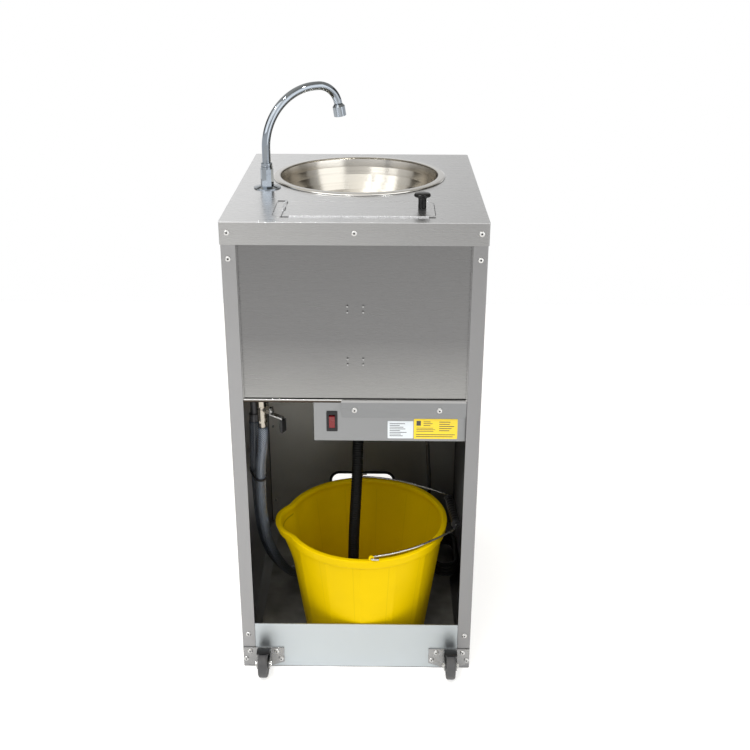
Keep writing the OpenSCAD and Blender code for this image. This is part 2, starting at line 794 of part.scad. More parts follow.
module lid_knob() {
    color([0.04, 0.04, 0.04]) translate([knob_x, knob_y, 0]) {
        translate([0, 0, cab_h + 0.05]) cylinder(h = 20, r = 6.8);
        translate([0, 0, cab_h + 18.5]) cylinder(h = 2, r1 = 9, r2 = 13);
        translate([0, 0, cab_h + 20.5]) cylinder(h = 2, r1 = 13.6, r2 = 14.2);
        translate([0, 0, cab_h + 22.5]) cylinder(h = 3.5, r1 = 14.2, r2 = 9.5);
        translate([0, 0, cab_h - t - 6]) cylinder(h = 8, r = 2.5);
        translate([0, 0, cab_h - t - 5]) hex(8, 4);
    }
}

// ---- tank, valve ----

module water_tank() {
    w = tank_t;
    color("silver") difference() {
        union() {
            block([tank_x[0], tank_y[0], tank_z[0]], [tank_x[1], tank_y[1], tank_z[1]]);
            block([neck_x[0], neck_y[0], tank_z[1] - 1], [neck_x[1], neck_y[1], body_top - 1]);
            block([-132, -231, body_top - 1 - t], [129, -131, body_top - 1]);
        }
        block([tank_x[0] + w, tank_y[0] + w, tank_z[0] + w], [tank_x[1] - w, tank_y[1] - w, tank_z[1] - w]);
        block([neck_x[0] + w, neck_y[0] + w, tank_z[1] - 3], [neck_x[1] - w, neck_y[1] - w, cab_h + 5]);
        translate([heater_x, heater_y, tank_z[0] - 1]) cylinder(h = 4, r = 20.2);
        translate([thermo_x, heater_y, tank_z[0] - 1]) cylinder(h = 4, r = 9.2);
        translate([tank_x[0] - 1, valve_y, tank_z[0] + 22]) rotate([0, 90, 0]) cylinder(h = 4, r = 6.6);
    }
}

module tank_outlet() {
    z = tank_z[0] + 22;
    color("darkkhaki") {
        translate([tank_x[0] - 0.1, valve_y, z]) rotate([0, -90, 0]) hex(20, 6);
        translate([valve_x, valve_y, z]) rotate([0, 90, 0]) cylinder(h = 36, r = 6.4);
        translate([valve_x, valve_y, z]) sphere(8.6);
        translate([valve_x, valve_y, 546]) cylinder(h = z - 546, r = 6.4);
    }
}

module valve_body() {
    color("lightgray") translate([valve_x, valve_y, 0]) difference() {
        union() {
            translate([0, 0, 519]) cylinder(h = 6, r = 7.5);
            translate([0, 0, 524]) hex(14, 21.9);
            translate([0, 0, 497]) cylinder(h = 22.5, r = 8.2);
            translate([0, 0, 494]) hex(15, 5);
            translate([0, 0, hose_top_z]) cylinder(h = 11, r = 6.6);
            rotate(valve_turn) translate([0, 0, stem_z]) rotate([0, 90, 0]) cylinder(h = 11, r = 6.2);
        }
        translate([0, 0, 480]) cylinder(h = 60, r = 4);
        rotate(valve_turn) translate([0, 0, stem_z]) rotate([0, 90, 0]) cylinder(h = 12, r = 3 + run_gap);
    }
}

module valve_gland_nut() {
    color("lightgray") translate([valve_x, valve_y, stem_z]) rotate(valve_turn) rotate([0, 90, 0])
        translate([0, 0, 11.1]) difference() {
            hex(13.5, 6);
            translate([0, 0, -1]) cylinder(h = 8, r = 3 + run_gap);
        }
}

module valve_lever() {
    color("silver") translate([valve_x, valve_y, stem_z]) rotate(valve_turn) {
        rotate([0, 90, 0]) cylinder(h = stem_l, r = 3);
        translate([18, -5.5, -8]) cube([2, 11, 14]);
        translate([19, -lever_w / 2, -7]) rotate([0, 8, 0]) cube([23, lever_w, 2]);
        translate([19, 0, 0]) rotate([0, 90, 0]) cylinder(h = 3.4, r = 4.4, $fn = 6);
        translate([lever_x, 0.2 - lever_w / 2, -32]) cube([2, lever_w - 0.4, 23.2]);
    }
}

module lever_grip() {
    color([0.05, 0.05, 0.05]) translate([valve_x, valve_y, stem_z]) rotate(valve_turn) difference() {
        translate([lever_x - 1.8, -lever_w / 2 - 1.6, -35]) cube([5.6, lever_w + 3.2, 23]);
        translate([lever_x - gap, -lever_w / 2 - gap, -32 - gap]) cube([2 + 2 * gap, lever_w + 2 * gap, 60]);
    }
}

module supply_hose() {
    color("slategray") swept_tube(SUPPLY_ROUTE, braid_d, 12);
}

module delivery_hose() {
    color("slategray") swept_tube(DELIVERY_ROUTE, braid_d, 12);
}

// The tie lies square to the supply hose and takes in both hoses.
module cable_tie() {
    near = SUPPLY_ROUTE[tie_ring];
    far = DELIVERY_ROUTE[tie_ring];
    along = unit(SUPPLY_ROUTE[tie_ring - 1] - SUPPLY_ROUTE[tie_ring + 1]);
    across = (far - near) - ((far - near) * along) * along;
    x = unit(across);
    y = cross(along, x);
    p = (near + far) / 2;
    w = norm(across) + braid_d + 1.4;
    h = braid_d + 1.4;
    color([0.05, 0.05, 0.05]) multmatrix([[x.x, y.x, along.x, p.x], [x.y, y.y, along.y, p.y],
        [x.z, y.z, along.z, p.z], [0, 0, 0, 1]]) difference() {
            union() {
                linear_extrude(4.8, center = true) round_rect(w + 3, h + 3, (h + 2.8) / 2);
                translate([0, -h / 2 - 3, 0]) cube([7, 5, 6], center = true);
            }
            linear_extrude(10, center = true) round_rect(w, h, (h - 0.2) / 2);
        }
}

// ---- foot pump ----

module pump_body() {
    color("dimgray") difference() {
        union() {
            block([-80, pivot_y - 12, pump_z], [56, 236, pump_z + 3]);
            translate([pump_x, pump_y, pump_z + 2]) cylinder(h = barrel_top - pump_z - 2, r = barrel_r);
            translate([pump_x, pump_y, pump_z + 2]) cylinder(h = 8, r = barrel_r + 5);
            translate([pump_x, pump_y, barrel_top - 6]) cylinder(h = 6, r = barrel_r + 3);
            block([-74, manifold_y + 8, pump_z + 2], [-20, 186, 36]);
            for (x = spigot_x) translate([x, manifold_y + 9, spigot_z]) rotate([90, 0, 0])
                cylinder(h = 8.9, r = 8.6);
            for (s = [-1, 1]) {
                block([s * 22 - 2, pivot_y - 9, pump_z + 2], [s * 22 + 2, pivot_y + 9, pivot_z]);
                translate([s * 22, pivot_y, pivot_z]) rotate([0, 90, 0])
                    cylinder(h = 4, r = 9, center = true);
            }
        }
        translate([pump_x, pump_y, pump_z + 6]) cylinder(h = barrel_top - pump_z - 10, r = barrel_r - 3);
        translate([pump_x, pump_y, 20]) cylinder(h = 40, r = rod_r + 0.3);
        translate([-30, pivot_y, pivot_z]) rotate([0, 90, 0]) cylinder(h = 60, r = 3);
        for (x = [-70, 46], y = [110, 226]) translate([x, y, 0]) cylinder(h = 10, r = 2.7);
    }
}

module pump_piston() {
    color("silver") translate([pump_x, pump_y, 0]) {
        translate([0, 0, barrel_top - 9]) cylinder(h = 4.4, r = barrel_r - 3.4);
        translate([0, 0, barrel_top - 8]) cylinder(h = 42, r = rod_r);
        translate([0, 0, spring_z[1] + 1.6]) cylinder(h = 3, r = 17);
        translate([0, 0, piston_top - piston_r]) sphere(piston_r);
    }
}

module pump_spring() {
    turns = 5;
    n = 16;
    color("gray") swept_tube([for (i = [0 : turns * n])
        let (k = i / (turns * n), r = spring_r[0] + (spring_r[1] - spring_r[0]) * k)
        [pump_x + r * cos(360 * i / n), pump_y + r * sin(360 * i / n),
            spring_z[0] + (spring_z[1] - spring_z[0]) * k]], spring_wire, 8);
}

module pump_pedal() {
    w = pedal_w / 2;
    color("silver") difference() {
        union() {
            block([-w, pivot_y - 8, pivot_z + 14], [w, 254, pivot_z + 16.5]);
            for (s = [-1, 1]) {
                block([s * (w - 1.25) - 1.25, pivot_y - 8, pivot_z],
                    [s * (w - 1.25) + 1.25, pivot_y + 100, pivot_z + 15]);
                translate([s * (w - 1.25), pivot_y, pivot_z]) rotate([0, 90, 0])
                    cylinder(h = 2.5, r = 8, center = true);
            }
            block([-w, 251.5, pivot_z + 8], [w, 254, pivot_z + 16]);
        }
        translate([-40, pivot_y, pivot_z]) rotate([0, 90, 0]) cylinder(h = 80, r = 3 + run_gap);
    }
}

module pedal_pin() {
    color("gray") translate([-30, pivot_y, pivot_z]) rotate([0, 90, 0]) {
        cylinder(h = 60, r = 3);
        translate([0, 0, -2.6]) cylinder(h = 2.6, r = 5);
        translate([0, 0, 60]) cylinder(h = 2.6, r = 5);
    }
}

module pedal_pad() {
    w = pedal_w / 2 - 3;
    color([0.08, 0.08, 0.08]) {
        block([-w, 176, pivot_z + 16.6], [w, 250, pivot_z + 19]);
        for (y = [182 : 9 : 245]) block([-w + 3, y, pivot_z + 18], [w - 3, y + 4, pivot_z + 20.5]);
    }
}

// ---- casters ----

module caster_fork(x) {
    s = sign(x);
    cheek = [[front_y + 0.5, 8], [front_y - 6, 8], [axle_y + 3, axle_z - fork_end_r],
        [axle_y - 3, axle_z + fork_end_r], [front_y + 0.5, 43]];
    difference() {
        union() {
            sheet_xz(front_y - fork_t - gap, fork_t) polygon([[s * plate_out[0], 12], [s * plate_out[0], 44],
                [s * plate_out[1], 44], [s * plate_out[1], 12], [s * 192, 3], [s * 160, 3]]);
            intersection() {
                for (k = [-1, 1]) translate([x + k * (fork_gap + fork_t / 2) - fork_t / 2, 0, 0])
                    rotate([90, 0, 90]) linear_extrude(fork_t) union() {
                        polygon(cheek);
                        translate([axle_y, axle_z]) circle(fork_end_r);
                    }
                block([-300, -400, 0], [300, front_y - gap, 60]);
            }
        }
        translate([x, axle_y, axle_z]) rotate([0, 90, 0]) cylinder(h = 40, r = axle_r, center = true);
        block([x - wheel_w / 2 - 1, axle_y - 30, 0],
            [x + wheel_w / 2 + 1, front_y - fork_t - gap - 0.001, 60]);
        front_holes();
    }
}

module caster_brackets() {
    color("lightgray") for (x = caster_x) caster_fork(x);
}

module caster_guards() {
    out_r = wheel_d / 2 + 4.2;
    in_r = wheel_d / 2 + 1.2;
    back = front_y - 2.3 - axle_y;
    color([0.06, 0.06, 0.05]) for (x = caster_x) translate([x, axle_y, axle_z]) rotate([90, 0, 90])
        linear_extrude(23, center = true) intersection() {
            difference() {
                circle(out_r, $fn = 96);
                circle(in_r, $fn = 96);
            }
            polygon([[0, 0], [-14, 60], [back, 60], [back, 0]]);
            translate([-30, 17]) square([70, 40]);
        }
}

module caster_axles() {
    color("silver") for (x = caster_x) translate([x, axle_y, axle_z]) rotate([0, 90, 0]) {
        cylinder(h = 2 * (fork_gap + fork_t) + 2, r = axle_r, center = true);
        for (k = [-1, 1]) translate([0, 0, k * (fork_gap + fork_t + 1.6)])
            cylinder(h = 3, r = 5.2, center = true, $fn = 6);
    }
}

module caster_wheel(x) {
    r = wheel_d / 2;
    w = wheel_w / 2;
    translate([x, axle_y, axle_z]) rotate([0, 90, 0]) rotate_extrude($fn = 96)
        polygon([[axle_r + run_gap, -w - 0.8], [7, -w - 0.8], [8, -w + 1.5], [r - 7, -w + 1.5],
            [r - 6, -w + 0.2], [r - 2.6, -w], [r - 0.9, -w + 1], [r, -w + 3], [r, w - 3],
            [r - 0.9, w - 1], [r - 2.6, w], [r - 6, w - 0.2], [r - 7, w - 1.5], [8, w - 1.5],
            [7, w + 0.8], [axle_r + run_gap, w + 0.8]]);
}

module left_caster_wheel() {
    color("dimgray") caster_wheel(caster_x[0]);
}

module right_caster_wheel() {
    color("dimgray") caster_wheel(caster_x[1]);
}

// ---- bucket ----

module at_bucket() {
    translate([bucket_x, bucket_y, bucket_z]) rotate(bucket_turn) children();
}

module bucket() {
    r = bucket_d / 2;
    h = bucket_h;
    lip_c = -138;
    color("gold") at_bucket() difference() {
        union() {
            cylinder(h = h - band_h, r1 = bucket_foot_r, r2 = bucket_wall_r, $fn = 96);
            translate([0, 0, h - band_h - 2])
                cylinder(h = 2, r1 = bucket_wall_r - 1, r2 = r - 3, $fn = 96);
            translate([0, 0, h - band_h]) cylinder(h = band_h, r1 = r - 3, r2 = r, $fn = 96);
            translate([lip_c, 0, h - 62]) cylinder(h = 62, r1 = 8, r2 = 35);
            for (a = [90, 270]) rotate(a) translate([ear_r, 0, h - 1]) block([-2.5, -7, 0], [2.5, 7, 10.5]);
        }
        translate([0, 0, bucket_t])
            cylinder(h = h, r1 = bucket_foot_r - bucket_t, r2 = bucket_wall_r + 1.6, $fn = 96);
        translate([lip_c, 0, h - 58]) cylinder(h = 58.1, r1 = 5, r2 = 32);
        translate([0, 0, h + 5]) rotate([90, 0, 0])
            cylinder(h = 400, r = wire_r + 0.1, center = true);
    }
}

// The bail lies over the rim: pins in the ears, arms that run straight to the grip, bent-back ends.
module bucket_bail() {
    z = bucket_h + 5;
    arm = [for (p = BAIL_ARM) [p.x, p.y - ear_r, z]];
    other = [for (i = [len(arm) - 1 : -1 : 0]) [arm[i].x, -arm[i].y, z]];
    color("silver") at_bucket() {
        swept_tube(concat(arm, other), 2 * wire_r, 10);
        for (s = [-1, 1]) {
            translate([0, s * (ear_r - 6), z]) rotate([-90 * s, 0, 0]) cylinder(h = 12.6, r = wire_r);
            translate([0, s * (ear_r + 4.9), z]) rotate([0, 90, 8 * s]) cylinder(h = 15, r = wire_r);
        }
    }
}

module bail_grip() {
    color([0.05, 0.05, 0.05]) at_bucket() translate([168, 0, bucket_h + 5]) rotate([90, 0, 0]) difference() {
        union() {
            cylinder(h = 96, r = 8, center = true);
            for (s = [-1, 1]) translate([0, 0, s * 47]) cylinder(h = 3, r = 9.5, center = true);
        }
        cylinder(h = 120, r = wire_r + 0.1, center = true);
    }
}

// ---- fasteners ----

module screw() {
    translate([0, 0, -grip_l]) cylinder(h = grip_l + 0.5, r = shank_r, $fn = 24);
    difference() {
        rotate_extrude($fn = 40) polygon([[0, 0.05], [head_r, 0.05], [head_r, 0.7],
            [head_r * 0.86, 1.7], [head_r * 0.55, 2.45], [0, head_h]]);
        translate([0, 0, 1]) cylinder(h = 3, r = 1.75, $fn = 6);
    }
}

module panel_screws() {
    color("silver") {
        for (s = FRONT_SCREWS) translate([s[0], front_y - s[2], s[1]]) rotate([90, 0, 0]) screw();
        for (x = [-1, 1], z = REAR_SCREW_Z)
            translate([x * flange_screw_x, rear_y, z]) rotate([-90, 0, 0]) screw();
        for (x = [-1, 0, 1])
            translate([x * flange_screw_x, cab_d / 2, skirt_z]) rotate([-90, 0, 0]) screw();
    }
}

worktop();
left_side_panel();
right_side_panel();
rear_panel();
pedal_edge_trim();
floor_panel();
kick_panel();
upper_front_panel();
tank_shelf();
control_box();
control_plate();
white_label();
yellow_label();
switch_bezel();
switch_rocker();
immersion_heater();
thermostat();
cable_gland();
mains_cable();
cable_hank();
mains_plug();
basin();
basin_gasket();
waste_strainer();
waste_tailpiece();
waste_hose();
waste_hose_clip();
tap_base();
tap_backnut();
tap_feed_pipe();
tap_spout();
tap_aerator();
filler_lid();
lid_knob();
lid_hinge_leaf();
lid_hinge_pin();
water_tank();
tank_outlet();
valve_body();
valve_gland_nut();
valve_lever();
lever_grip();
supply_hose();
delivery_hose();
cable_tie();
pump_body();
pump_piston();
pump_spring();
pump_pedal();
pedal_pin();
pedal_pad();
caster_brackets();
caster_guards();
caster_axles();
left_caster_wheel();
right_caster_wheel();
bucket();
bucket_bail();
bail_grip();
panel_screws();
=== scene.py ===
"""Looks of the portable handwash sink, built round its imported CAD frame. Lengths are in metres."""

import math
import random

import bpy
from mathutils import Matrix, Vector


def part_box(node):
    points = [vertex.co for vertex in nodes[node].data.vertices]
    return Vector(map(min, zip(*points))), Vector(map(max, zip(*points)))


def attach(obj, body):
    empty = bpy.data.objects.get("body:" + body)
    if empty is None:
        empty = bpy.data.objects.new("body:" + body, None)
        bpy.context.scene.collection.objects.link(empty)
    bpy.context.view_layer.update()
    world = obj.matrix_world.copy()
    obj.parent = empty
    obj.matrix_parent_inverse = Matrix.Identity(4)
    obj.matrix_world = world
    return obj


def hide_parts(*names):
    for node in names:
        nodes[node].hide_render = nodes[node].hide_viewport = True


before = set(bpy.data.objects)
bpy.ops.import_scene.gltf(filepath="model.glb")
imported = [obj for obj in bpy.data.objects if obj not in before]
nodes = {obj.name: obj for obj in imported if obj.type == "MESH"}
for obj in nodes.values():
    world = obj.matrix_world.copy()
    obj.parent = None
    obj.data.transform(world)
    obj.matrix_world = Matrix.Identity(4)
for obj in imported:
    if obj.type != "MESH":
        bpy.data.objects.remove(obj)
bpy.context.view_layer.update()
rng = random.Random(7)


def middle(node):
    """Centre of a CAD node's box."""
    low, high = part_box(node)
    return (low + high) / 2


# ---- camera ----

PITCH, YAW, ROLL = math.radians(23.3), math.radians(-0.583), math.radians(0.17)
EYE, LENS, SENSOR = (0.0501, -1.881, 1.300), 50.53, 36
cam = bpy.data.objects.new("camera", bpy.data.cameras.new("camera"))
bpy.context.scene.collection.objects.link(cam)
look = Vector((math.sin(YAW) * math.cos(PITCH), math.cos(YAW) * math.cos(PITCH), -math.sin(PITCH)))
level = Vector((math.cos(YAW), -math.sin(YAW), 0))
rise = level.cross(look)
right = level * math.cos(ROLL) + rise * math.sin(ROLL)
up = rise * math.cos(ROLL) - level * math.sin(ROLL)
turned = Matrix((right, up, -look)).transposed().to_4x4()
cam.matrix_world = Matrix.Translation(EYE) @ turned
cam.data.lens, cam.data.sensor_width = LENS, SENSOR
cam.data.clip_start = 0.05
bpy.context.scene.camera = cam


# ---- mesh helpers ----

def mesh_object(name, verts, faces, uvs=None, smooth=True):
    """New object from points and faces. Each UV belongs to a point."""
    mesh = bpy.data.meshes.new(name)
    mesh.from_pydata(verts, [], faces)
    if uvs:
        layer = mesh.uv_layers.new(name="UVMap")
        for loop in mesh.loops:
            layer.data[loop.index].uv = uvs[loop.vertex_index]
    mesh.polygons.foreach_set("use_smooth", [smooth] * len(mesh.polygons))
    obj = bpy.data.objects.new(name, mesh)
    bpy.context.scene.collection.objects.link(obj)
    return obj


def smooth_path(points, step):
    """Catmull-Rom line through given points, with a point about every step."""
    points = [Vector(p) for p in points]
    ends = [2 * points[0] - points[1], *points, 2 * points[-1] - points[-2]]
    path = [points[0]]
    for a, b, c, d in zip(ends, ends[1:], ends[2:], ends[3:]):
        count = max(1, round((c - b).length / step))
        for i in range(1, count + 1):
            t = i / count
            path.append(0.5 * (2 * b + (c - a) * t + (2 * a - 5 * b + 4 * c - d) * t * t
                               + (3 * b - 3 * c + d - a) * t ** 3))
    return path


def tube(name, path, radius, sides=20):
    """Tube along a path. The radius may be a function of the distance along it.

    U runs along the tube in metres, V round it.
    """
    last = len(path) - 1
    across = Vector((1, 0, 0))
    verts, uvs, faces, run = [], [], [], 0.0
    for i, p in enumerate(path):
        ahead = (path[min(i + 1, last)] - path[max(i - 1, 0)]).normalized()
        across = (across - ahead * across.dot(ahead)).normalized()
        other = ahead.cross(across)
        run += (p - path[i - 1]).length if i else 0.0
        r = radius(run) if callable(radius) else radius
        for k in range(sides + 1):
            a = math.tau * k / sides
            verts.append(p + r * (math.cos(a) * across + math.sin(a) * other))
            uvs.append((run, k / sides))
    n = sides + 1
    for i in range(last):
        for k in range(sides):
            faces.append((i * n + k, (i + 1) * n + k, (i + 1) * n + k + 1, i * n + k + 1))
    faces.append(tuple(range(sides)))
    faces.append(tuple(last * n + k for k in reversed(range(sides))))
    return mesh_object(name, verts, [f[::-1] for f in faces], uvs)


def lathe(name, profile, steps=64, place=Matrix.Identity(4)):
    """Turns a profile of (radius, height) points about Z, then puts it in place."""
    verts, faces = [], []
    for i in range(steps):
        a = math.tau * i / steps
        verts += [place @ Vector((r * math.cos(a), r * math.sin(a), z)) for r, z in profile]
    n = len(profile)
    for i in range(steps):
        j = (i + 1) % steps
        faces += [(i * n + k, j * n + k, j * n + k + 1, i * n + k + 1) for k in range(n - 1)]
    return mesh_object(name, verts, faces)


def rounded(corners, r, steps=4):
    """Profile with its inner corners rounded to radius r."""
    out = [corners[0]]
    for a, b, c in zip(corners, corners[1:], corners[2:]):
        a, b, c = Vector(a), Vector(b), Vector(c)
        cut = min(r, 0.45 * (a - b).length, 0.45 * (c - b).length)
        start, end = b + (a - b).normalized() * cut, b + (c - b).normalized() * cut
        for i in range(steps + 1):
            t = i / steps
            out.append(tuple((1 - t) ** 2 * start + 2 * t * (1 - t) * b + t * t * end))
    return [*out, corners[-1]]


def part(obj, look_of, body, *replaced, slot=None):
    """Gives a piece its look, its body and the CAD nodes it replaces. The slot is not used."""
    obj.data.materials.append(look_of)
    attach(obj, body)
    if replaced:
        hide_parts(*replaced)
    return obj


# ---- materials ----

class Look:
    """A Principled material with short calls for the nodes that vary it."""

    def __init__(self, name, color, metallic=0.0, roughness=0.5, **sockets):
        self.mat = bpy.data.materials.new(name)
        self.mat.use_nodes = True
        self.tree = self.mat.node_tree
        self.shader = self.tree.nodes["Principled BSDF"]
        self.color, self.roughness = color, roughness
        self.shader.inputs["Base Color"].default_value = (*color, 1)
        self.shader.inputs["Metallic"].default_value = metallic
        self.shader.inputs["Roughness"].default_value = roughness
        for key, value in sockets.items():
            self.shader.inputs[key.replace("_", " ")].default_value = value
        self.place = self.add("TexCoord").outputs["Object"]
        self.surface = None

    def add(self, kind, inputs=(), **settings):
        made = self.tree.nodes.new("ShaderNode" + kind)
        for key, value in settings.items():
            setattr(made, key, value)
        for key, value in dict(inputs).items():
            if isinstance(value, bpy.types.NodeSocket):
                self.tree.links.new(value, made.inputs[key])
            else:
                made.inputs[key].default_value = value
        return made

    def math(self, operation, a, b=0.0):
        return self.add("Math", {0: a, 1: b}, operation=operation).outputs[0]

    def stretch(self, scale, source=None):
        return self.add("Mapping", {"Vector": source or self.place, "Scale": scale}).outputs[0]

    def about(self, shift):
        """Place moved by a shift, and its distance from the upright axis there."""
        moved = self.add("VectorMath", {0: self.place, 1: shift}, operation="ADD").outputs[0]
        flat = self.add("VectorMath", {0: moved, 1: (1, 1, 0)}, operation="MULTIPLY").outputs[0]
        return moved, self.add("VectorMath", {0: flat}, operation="LENGTH").outputs["Value"]

    def noise(self, scale, detail=3.0, source=None, rough=0.55):
        vector = source or self.place
        return self.add("TexNoise", {"Vector": vector, "Scale": scale, "Detail": detail,
                                     "Roughness": rough}).outputs["Fac"]

    def between(self, value, low, high, start=0.3, end=0.7):
        return self.add("MapRange", {"Value": value, "From Min": start, "From Max": end,
                                     "To Min": low, "To Max": high}).outputs[0]

    def tint(self, value, low, high, start=0.3, end=0.7):
        """Base colour between two multiples of the look's own colour, or two colours."""
        ends = [c if isinstance(c, tuple) else tuple(min(1, c * v) for v in self.color) for c in (low, high)]
        return self.paint(self.blend(self.between(value, 0, 1, start, end), *ends))

    def blend(self, factor, low, high):
        """Colour socket between two colours or colour sockets."""
        mix = self.add("Mix", {"Factor": factor}, data_type="RGBA")
        for socket, end in zip(mix.inputs[6:8], (low, high)):
            if isinstance(end, tuple):
                socket.default_value = (*end, 1)
            else:
                self.tree.links.new(end, socket)
        return mix.outputs[2]

    def paint(self, color):
        self.tree.links.new(color, self.shader.inputs["Base Color"])
        return self

    def rough(self, value, spread, start=0.3, end=0.7):
        out = self.between(value, self.roughness - spread, self.roughness + spread, start, end)
        self.tree.links.new(out, self.shader.inputs["Roughness"])
        return self

    def edges(self, radius):
        """Rounds sharp edges in the shading."""
        self.surface = self.add("Bevel", {"Radius": radius}, samples=4).outputs[0]
        return self

    def bump(self, height, distance, strength=1.0):
        inputs = {"Height": height, "Distance": distance, "Strength": strength}
        if self.surface:
            inputs["Normal"] = self.surface
        self.surface = self.add("Bump", inputs).outputs[0]
        return self

    def done(self):
        if self.surface:
            self.tree.links.new(self.surface, self.shader.inputs["Normal"])
        return self.mat


GRAIN_COARSE, GRAIN_FINE = 9, 1300
SHEET_HALF = 0.21
FACE_STEP = 0.0004


def grain_streaks(look):
    """Fine streaks that run along X."""
    return look.noise(1.0, 4, look.stretch((GRAIN_COARSE, GRAIN_FINE, GRAIN_FINE)))


def brushed(name, color, roughness, grain, right=1.0, outside=None):
    """Brushed sheet: streaks along the grain, cloudy marks, a slow warp, and painted shade that darkens it
    towards the right.

    The outside colour is for the rear face of the cabinet. On the rear panel the inside face is painted far
    lighter than the outside: painted light.
    """
    look = Look(name, color, metallic=1.0, roughness=roughness).edges(0.0007)
    scale = tuple(GRAIN_COARSE if axis == grain else GRAIN_FINE for axis in "xyz")
    streak = look.noise(1.0, 4, look.stretch(scale))
    split = look.add("SeparateXYZ", {0: look.place}).outputs
    cloud = look.math("MULTIPLY", look.noise(7.0, 3), 0.3)
    # Painted shade: the colour runs from a lighter left end to a darker right end, scaled by right, with
    # random cloudy marks mixed in.
    left, right_shade_tone = tuple(v * 1.06 for v in color), tuple(v * right * 0.94 for v in color)
    across = look.between(split[0], -0.15, 0.85, -SHEET_HALF, SHEET_HALF)
    sheet = look.blend(look.math("ADD", across, cloud), left, right_shade_tone)
    if outside:
        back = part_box("rear_panel")[1].y
        rear = look.between(split[1], 0, 1, back - 2 * FACE_STEP, back - FACE_STEP)
        sheet = look.blend(rear, sheet, outside)
    return (look.paint(sheet)
            .rough(look.math("MULTIPLY_ADD", streak, 0.7), 0.05, 0.25, 0.75)
            .bump(look.noise(3.0, 1), 0.0035, 0.25).bump(streak, 0.00003, 0.5).done())


def worktop_sheet():
    """Brushed worktop with painted light: its level face is painted brighter than its skirt, and painted
    shade darkens it towards the right.
    """
    look = Look("worktop_sheet", (0.5, 0.5, 0.5), metallic=1.0, roughness=0.27).edges(0.0007)
    streak = grain_streaks(look)
    split = look.add("SeparateXYZ", {0: look.place})
    cloud = look.math("MULTIPLY", look.noise(7.0, 3), 0.12)
    # Painted shade: the mix runs darker towards the right.
    right = look.math("ADD", look.between(split.outputs[0], 0, 1, -SHEET_HALF, SHEET_HALF), cloud)
    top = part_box("worktop")[1].z
    level = look.between(split.outputs[2], 0, 1, top - 0.0014, top - FACE_STEP)
    # Painted light: lit tones for the level face, shaded tones for the skirt.
    face = look.blend(right, (0.80, 0.81, 0.83), (0.575, 0.58, 0.59))
    skirt = look.blend(right, (0.37, 0.37, 0.372), (0.27, 0.27, 0.272))
    return (look.paint(look.blend(level, skirt, face)).rough(streak, 0.05, 0.25, 0.75)
            .bump(look.noise(3.0, 1), 0.0035, 0.25).bump(streak, 0.00003, 0.5).done())


def moulded(name, color, roughness, grain=900, depth=0.00006, **sockets):
    """Moulded plastic or rubber with a fine skin and uneven gloss."""
    look = Look(name, color, roughness=roughness, **sockets).edges(0.0005)
    return (look.tint(look.noise(25), 0.86, 1.14).rough(look.noise(40), 0.06)
            .bump(look.noise(grain, 2), depth, 0.6).done())


def bright_metal(name, color, roughness, marks=60, edge=0.0004):
    """Bare or plated metal with slight marks."""
    look = Look(name, color, metallic=1.0, roughness=roughness).edges(edge)
    return (look.tint(look.noise(marks), 0.93, 1.04).rough(look.noise(marks * 2), roughness * 0.35)
            .bump(look.noise(marks * 9, 2), 0.00002, 0.5).done())


def polished_chrome():
    """Smooth plating with slow waves and faint wipe marks."""
    look = Look("chrome", (0.28, 0.31, 0.345), metallic=1.0, roughness=0.05)
    return (look.tint(look.noise(14), 0.9, 1.06).rough(look.noise(30), 0.02)
            .bump(look.noise(22, 1), 0.0004, 0.15).done())


def split_sheet(name, below, above, height, roughness):
    """Brushed sheet in one tone below a height and another above it, used to paint shade and highlight along
    an edge.
    """
    look = Look(name, above, metallic=1.0, roughness=roughness).edges(0.0005)
    streak = grain_streaks(look)
    z = look.add("SeparateXYZ", {0: look.place}).outputs[2]
    return (look.tint(z, below, above, height - 0.0007, height + 0.0007).rough(streak, 0.05, 0.25, 0.75)
            .bump(streak, 0.00003, 0.5).done())


def spun_steel():
    """Polished bowl with a painted highlight on its rim, painted dark reflections at its two ends and faint
    spinning marks round its axis.
    """
    look = Look("spun_steel", (0.52, 0.495, 0.445), metallic=1.0, roughness=0.19)
    from_axis, reach = look.about((0, -middle("basin").y, 0))
    spin = {"W": reach, "Scale": 900.0, "Detail": 2.0}
    ring = look.add("TexNoise", spin, noise_dimensions="1D").outputs["Fac"]
    ends = look.math("ABSOLUTE", look.add("SeparateXYZ", {0: from_axis}).outputs[0])
    # Painted reflection: the bowl darkens to brown towards its two ends.
    bowl_painted_ends = look.blend(look.between(ends, 0, 1, 0.088, 0.125), look.color, (0.24, 0.215, 0.18))
    # Painted highlight: the rim is painted lighter than the bowl.
    rim = look.between(reach, 0, 1, 0.145, 0.149)
    return (look.paint(look.blend(rim, bowl_painted_ends, (0.62, 0.61, 0.59))).rough(ring, 0.03)
            .bump(look.noise(9.0, 1), 0.0008, 0.2).bump(ring, 0.00001, 0.6).done())


def panel_sheet():
    """Brushed panel with painted shade: darker towards the top, under the worktop's skirt, and lighter
    towards the shelf below it.
    """
    look = Look("panel_sheet", (0.2, 0.2, 0.2), metallic=1.0, roughness=0.27).edges(0.0007)
    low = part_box("upper_front_panel")[0]
    height = look.add("SeparateXYZ", {0: look.place}).outputs[2]
    streak = grain_streaks(look)
    wavy = look.math("ADD", height, look.math("MULTIPLY", look.noise(6.0, 2), 0.03))
    # Painted shade: light near the shelf, dark higher up.
    light, dark = (0.27, 0.27, 0.265), (0.162, 0.162, 0.164)
    return (look.tint(wavy, light, dark, low.z + 0.005, low.z + 0.12)
            .rough(streak, 0.05, 0.25, 0.75).bump(look.noise(3.0, 1), 0.0035, 0.25)
            .bump(streak, 0.00003, 0.5).done())


WEAVE_PITCH, WEAVE_THREADS = 0.0036, 14.0


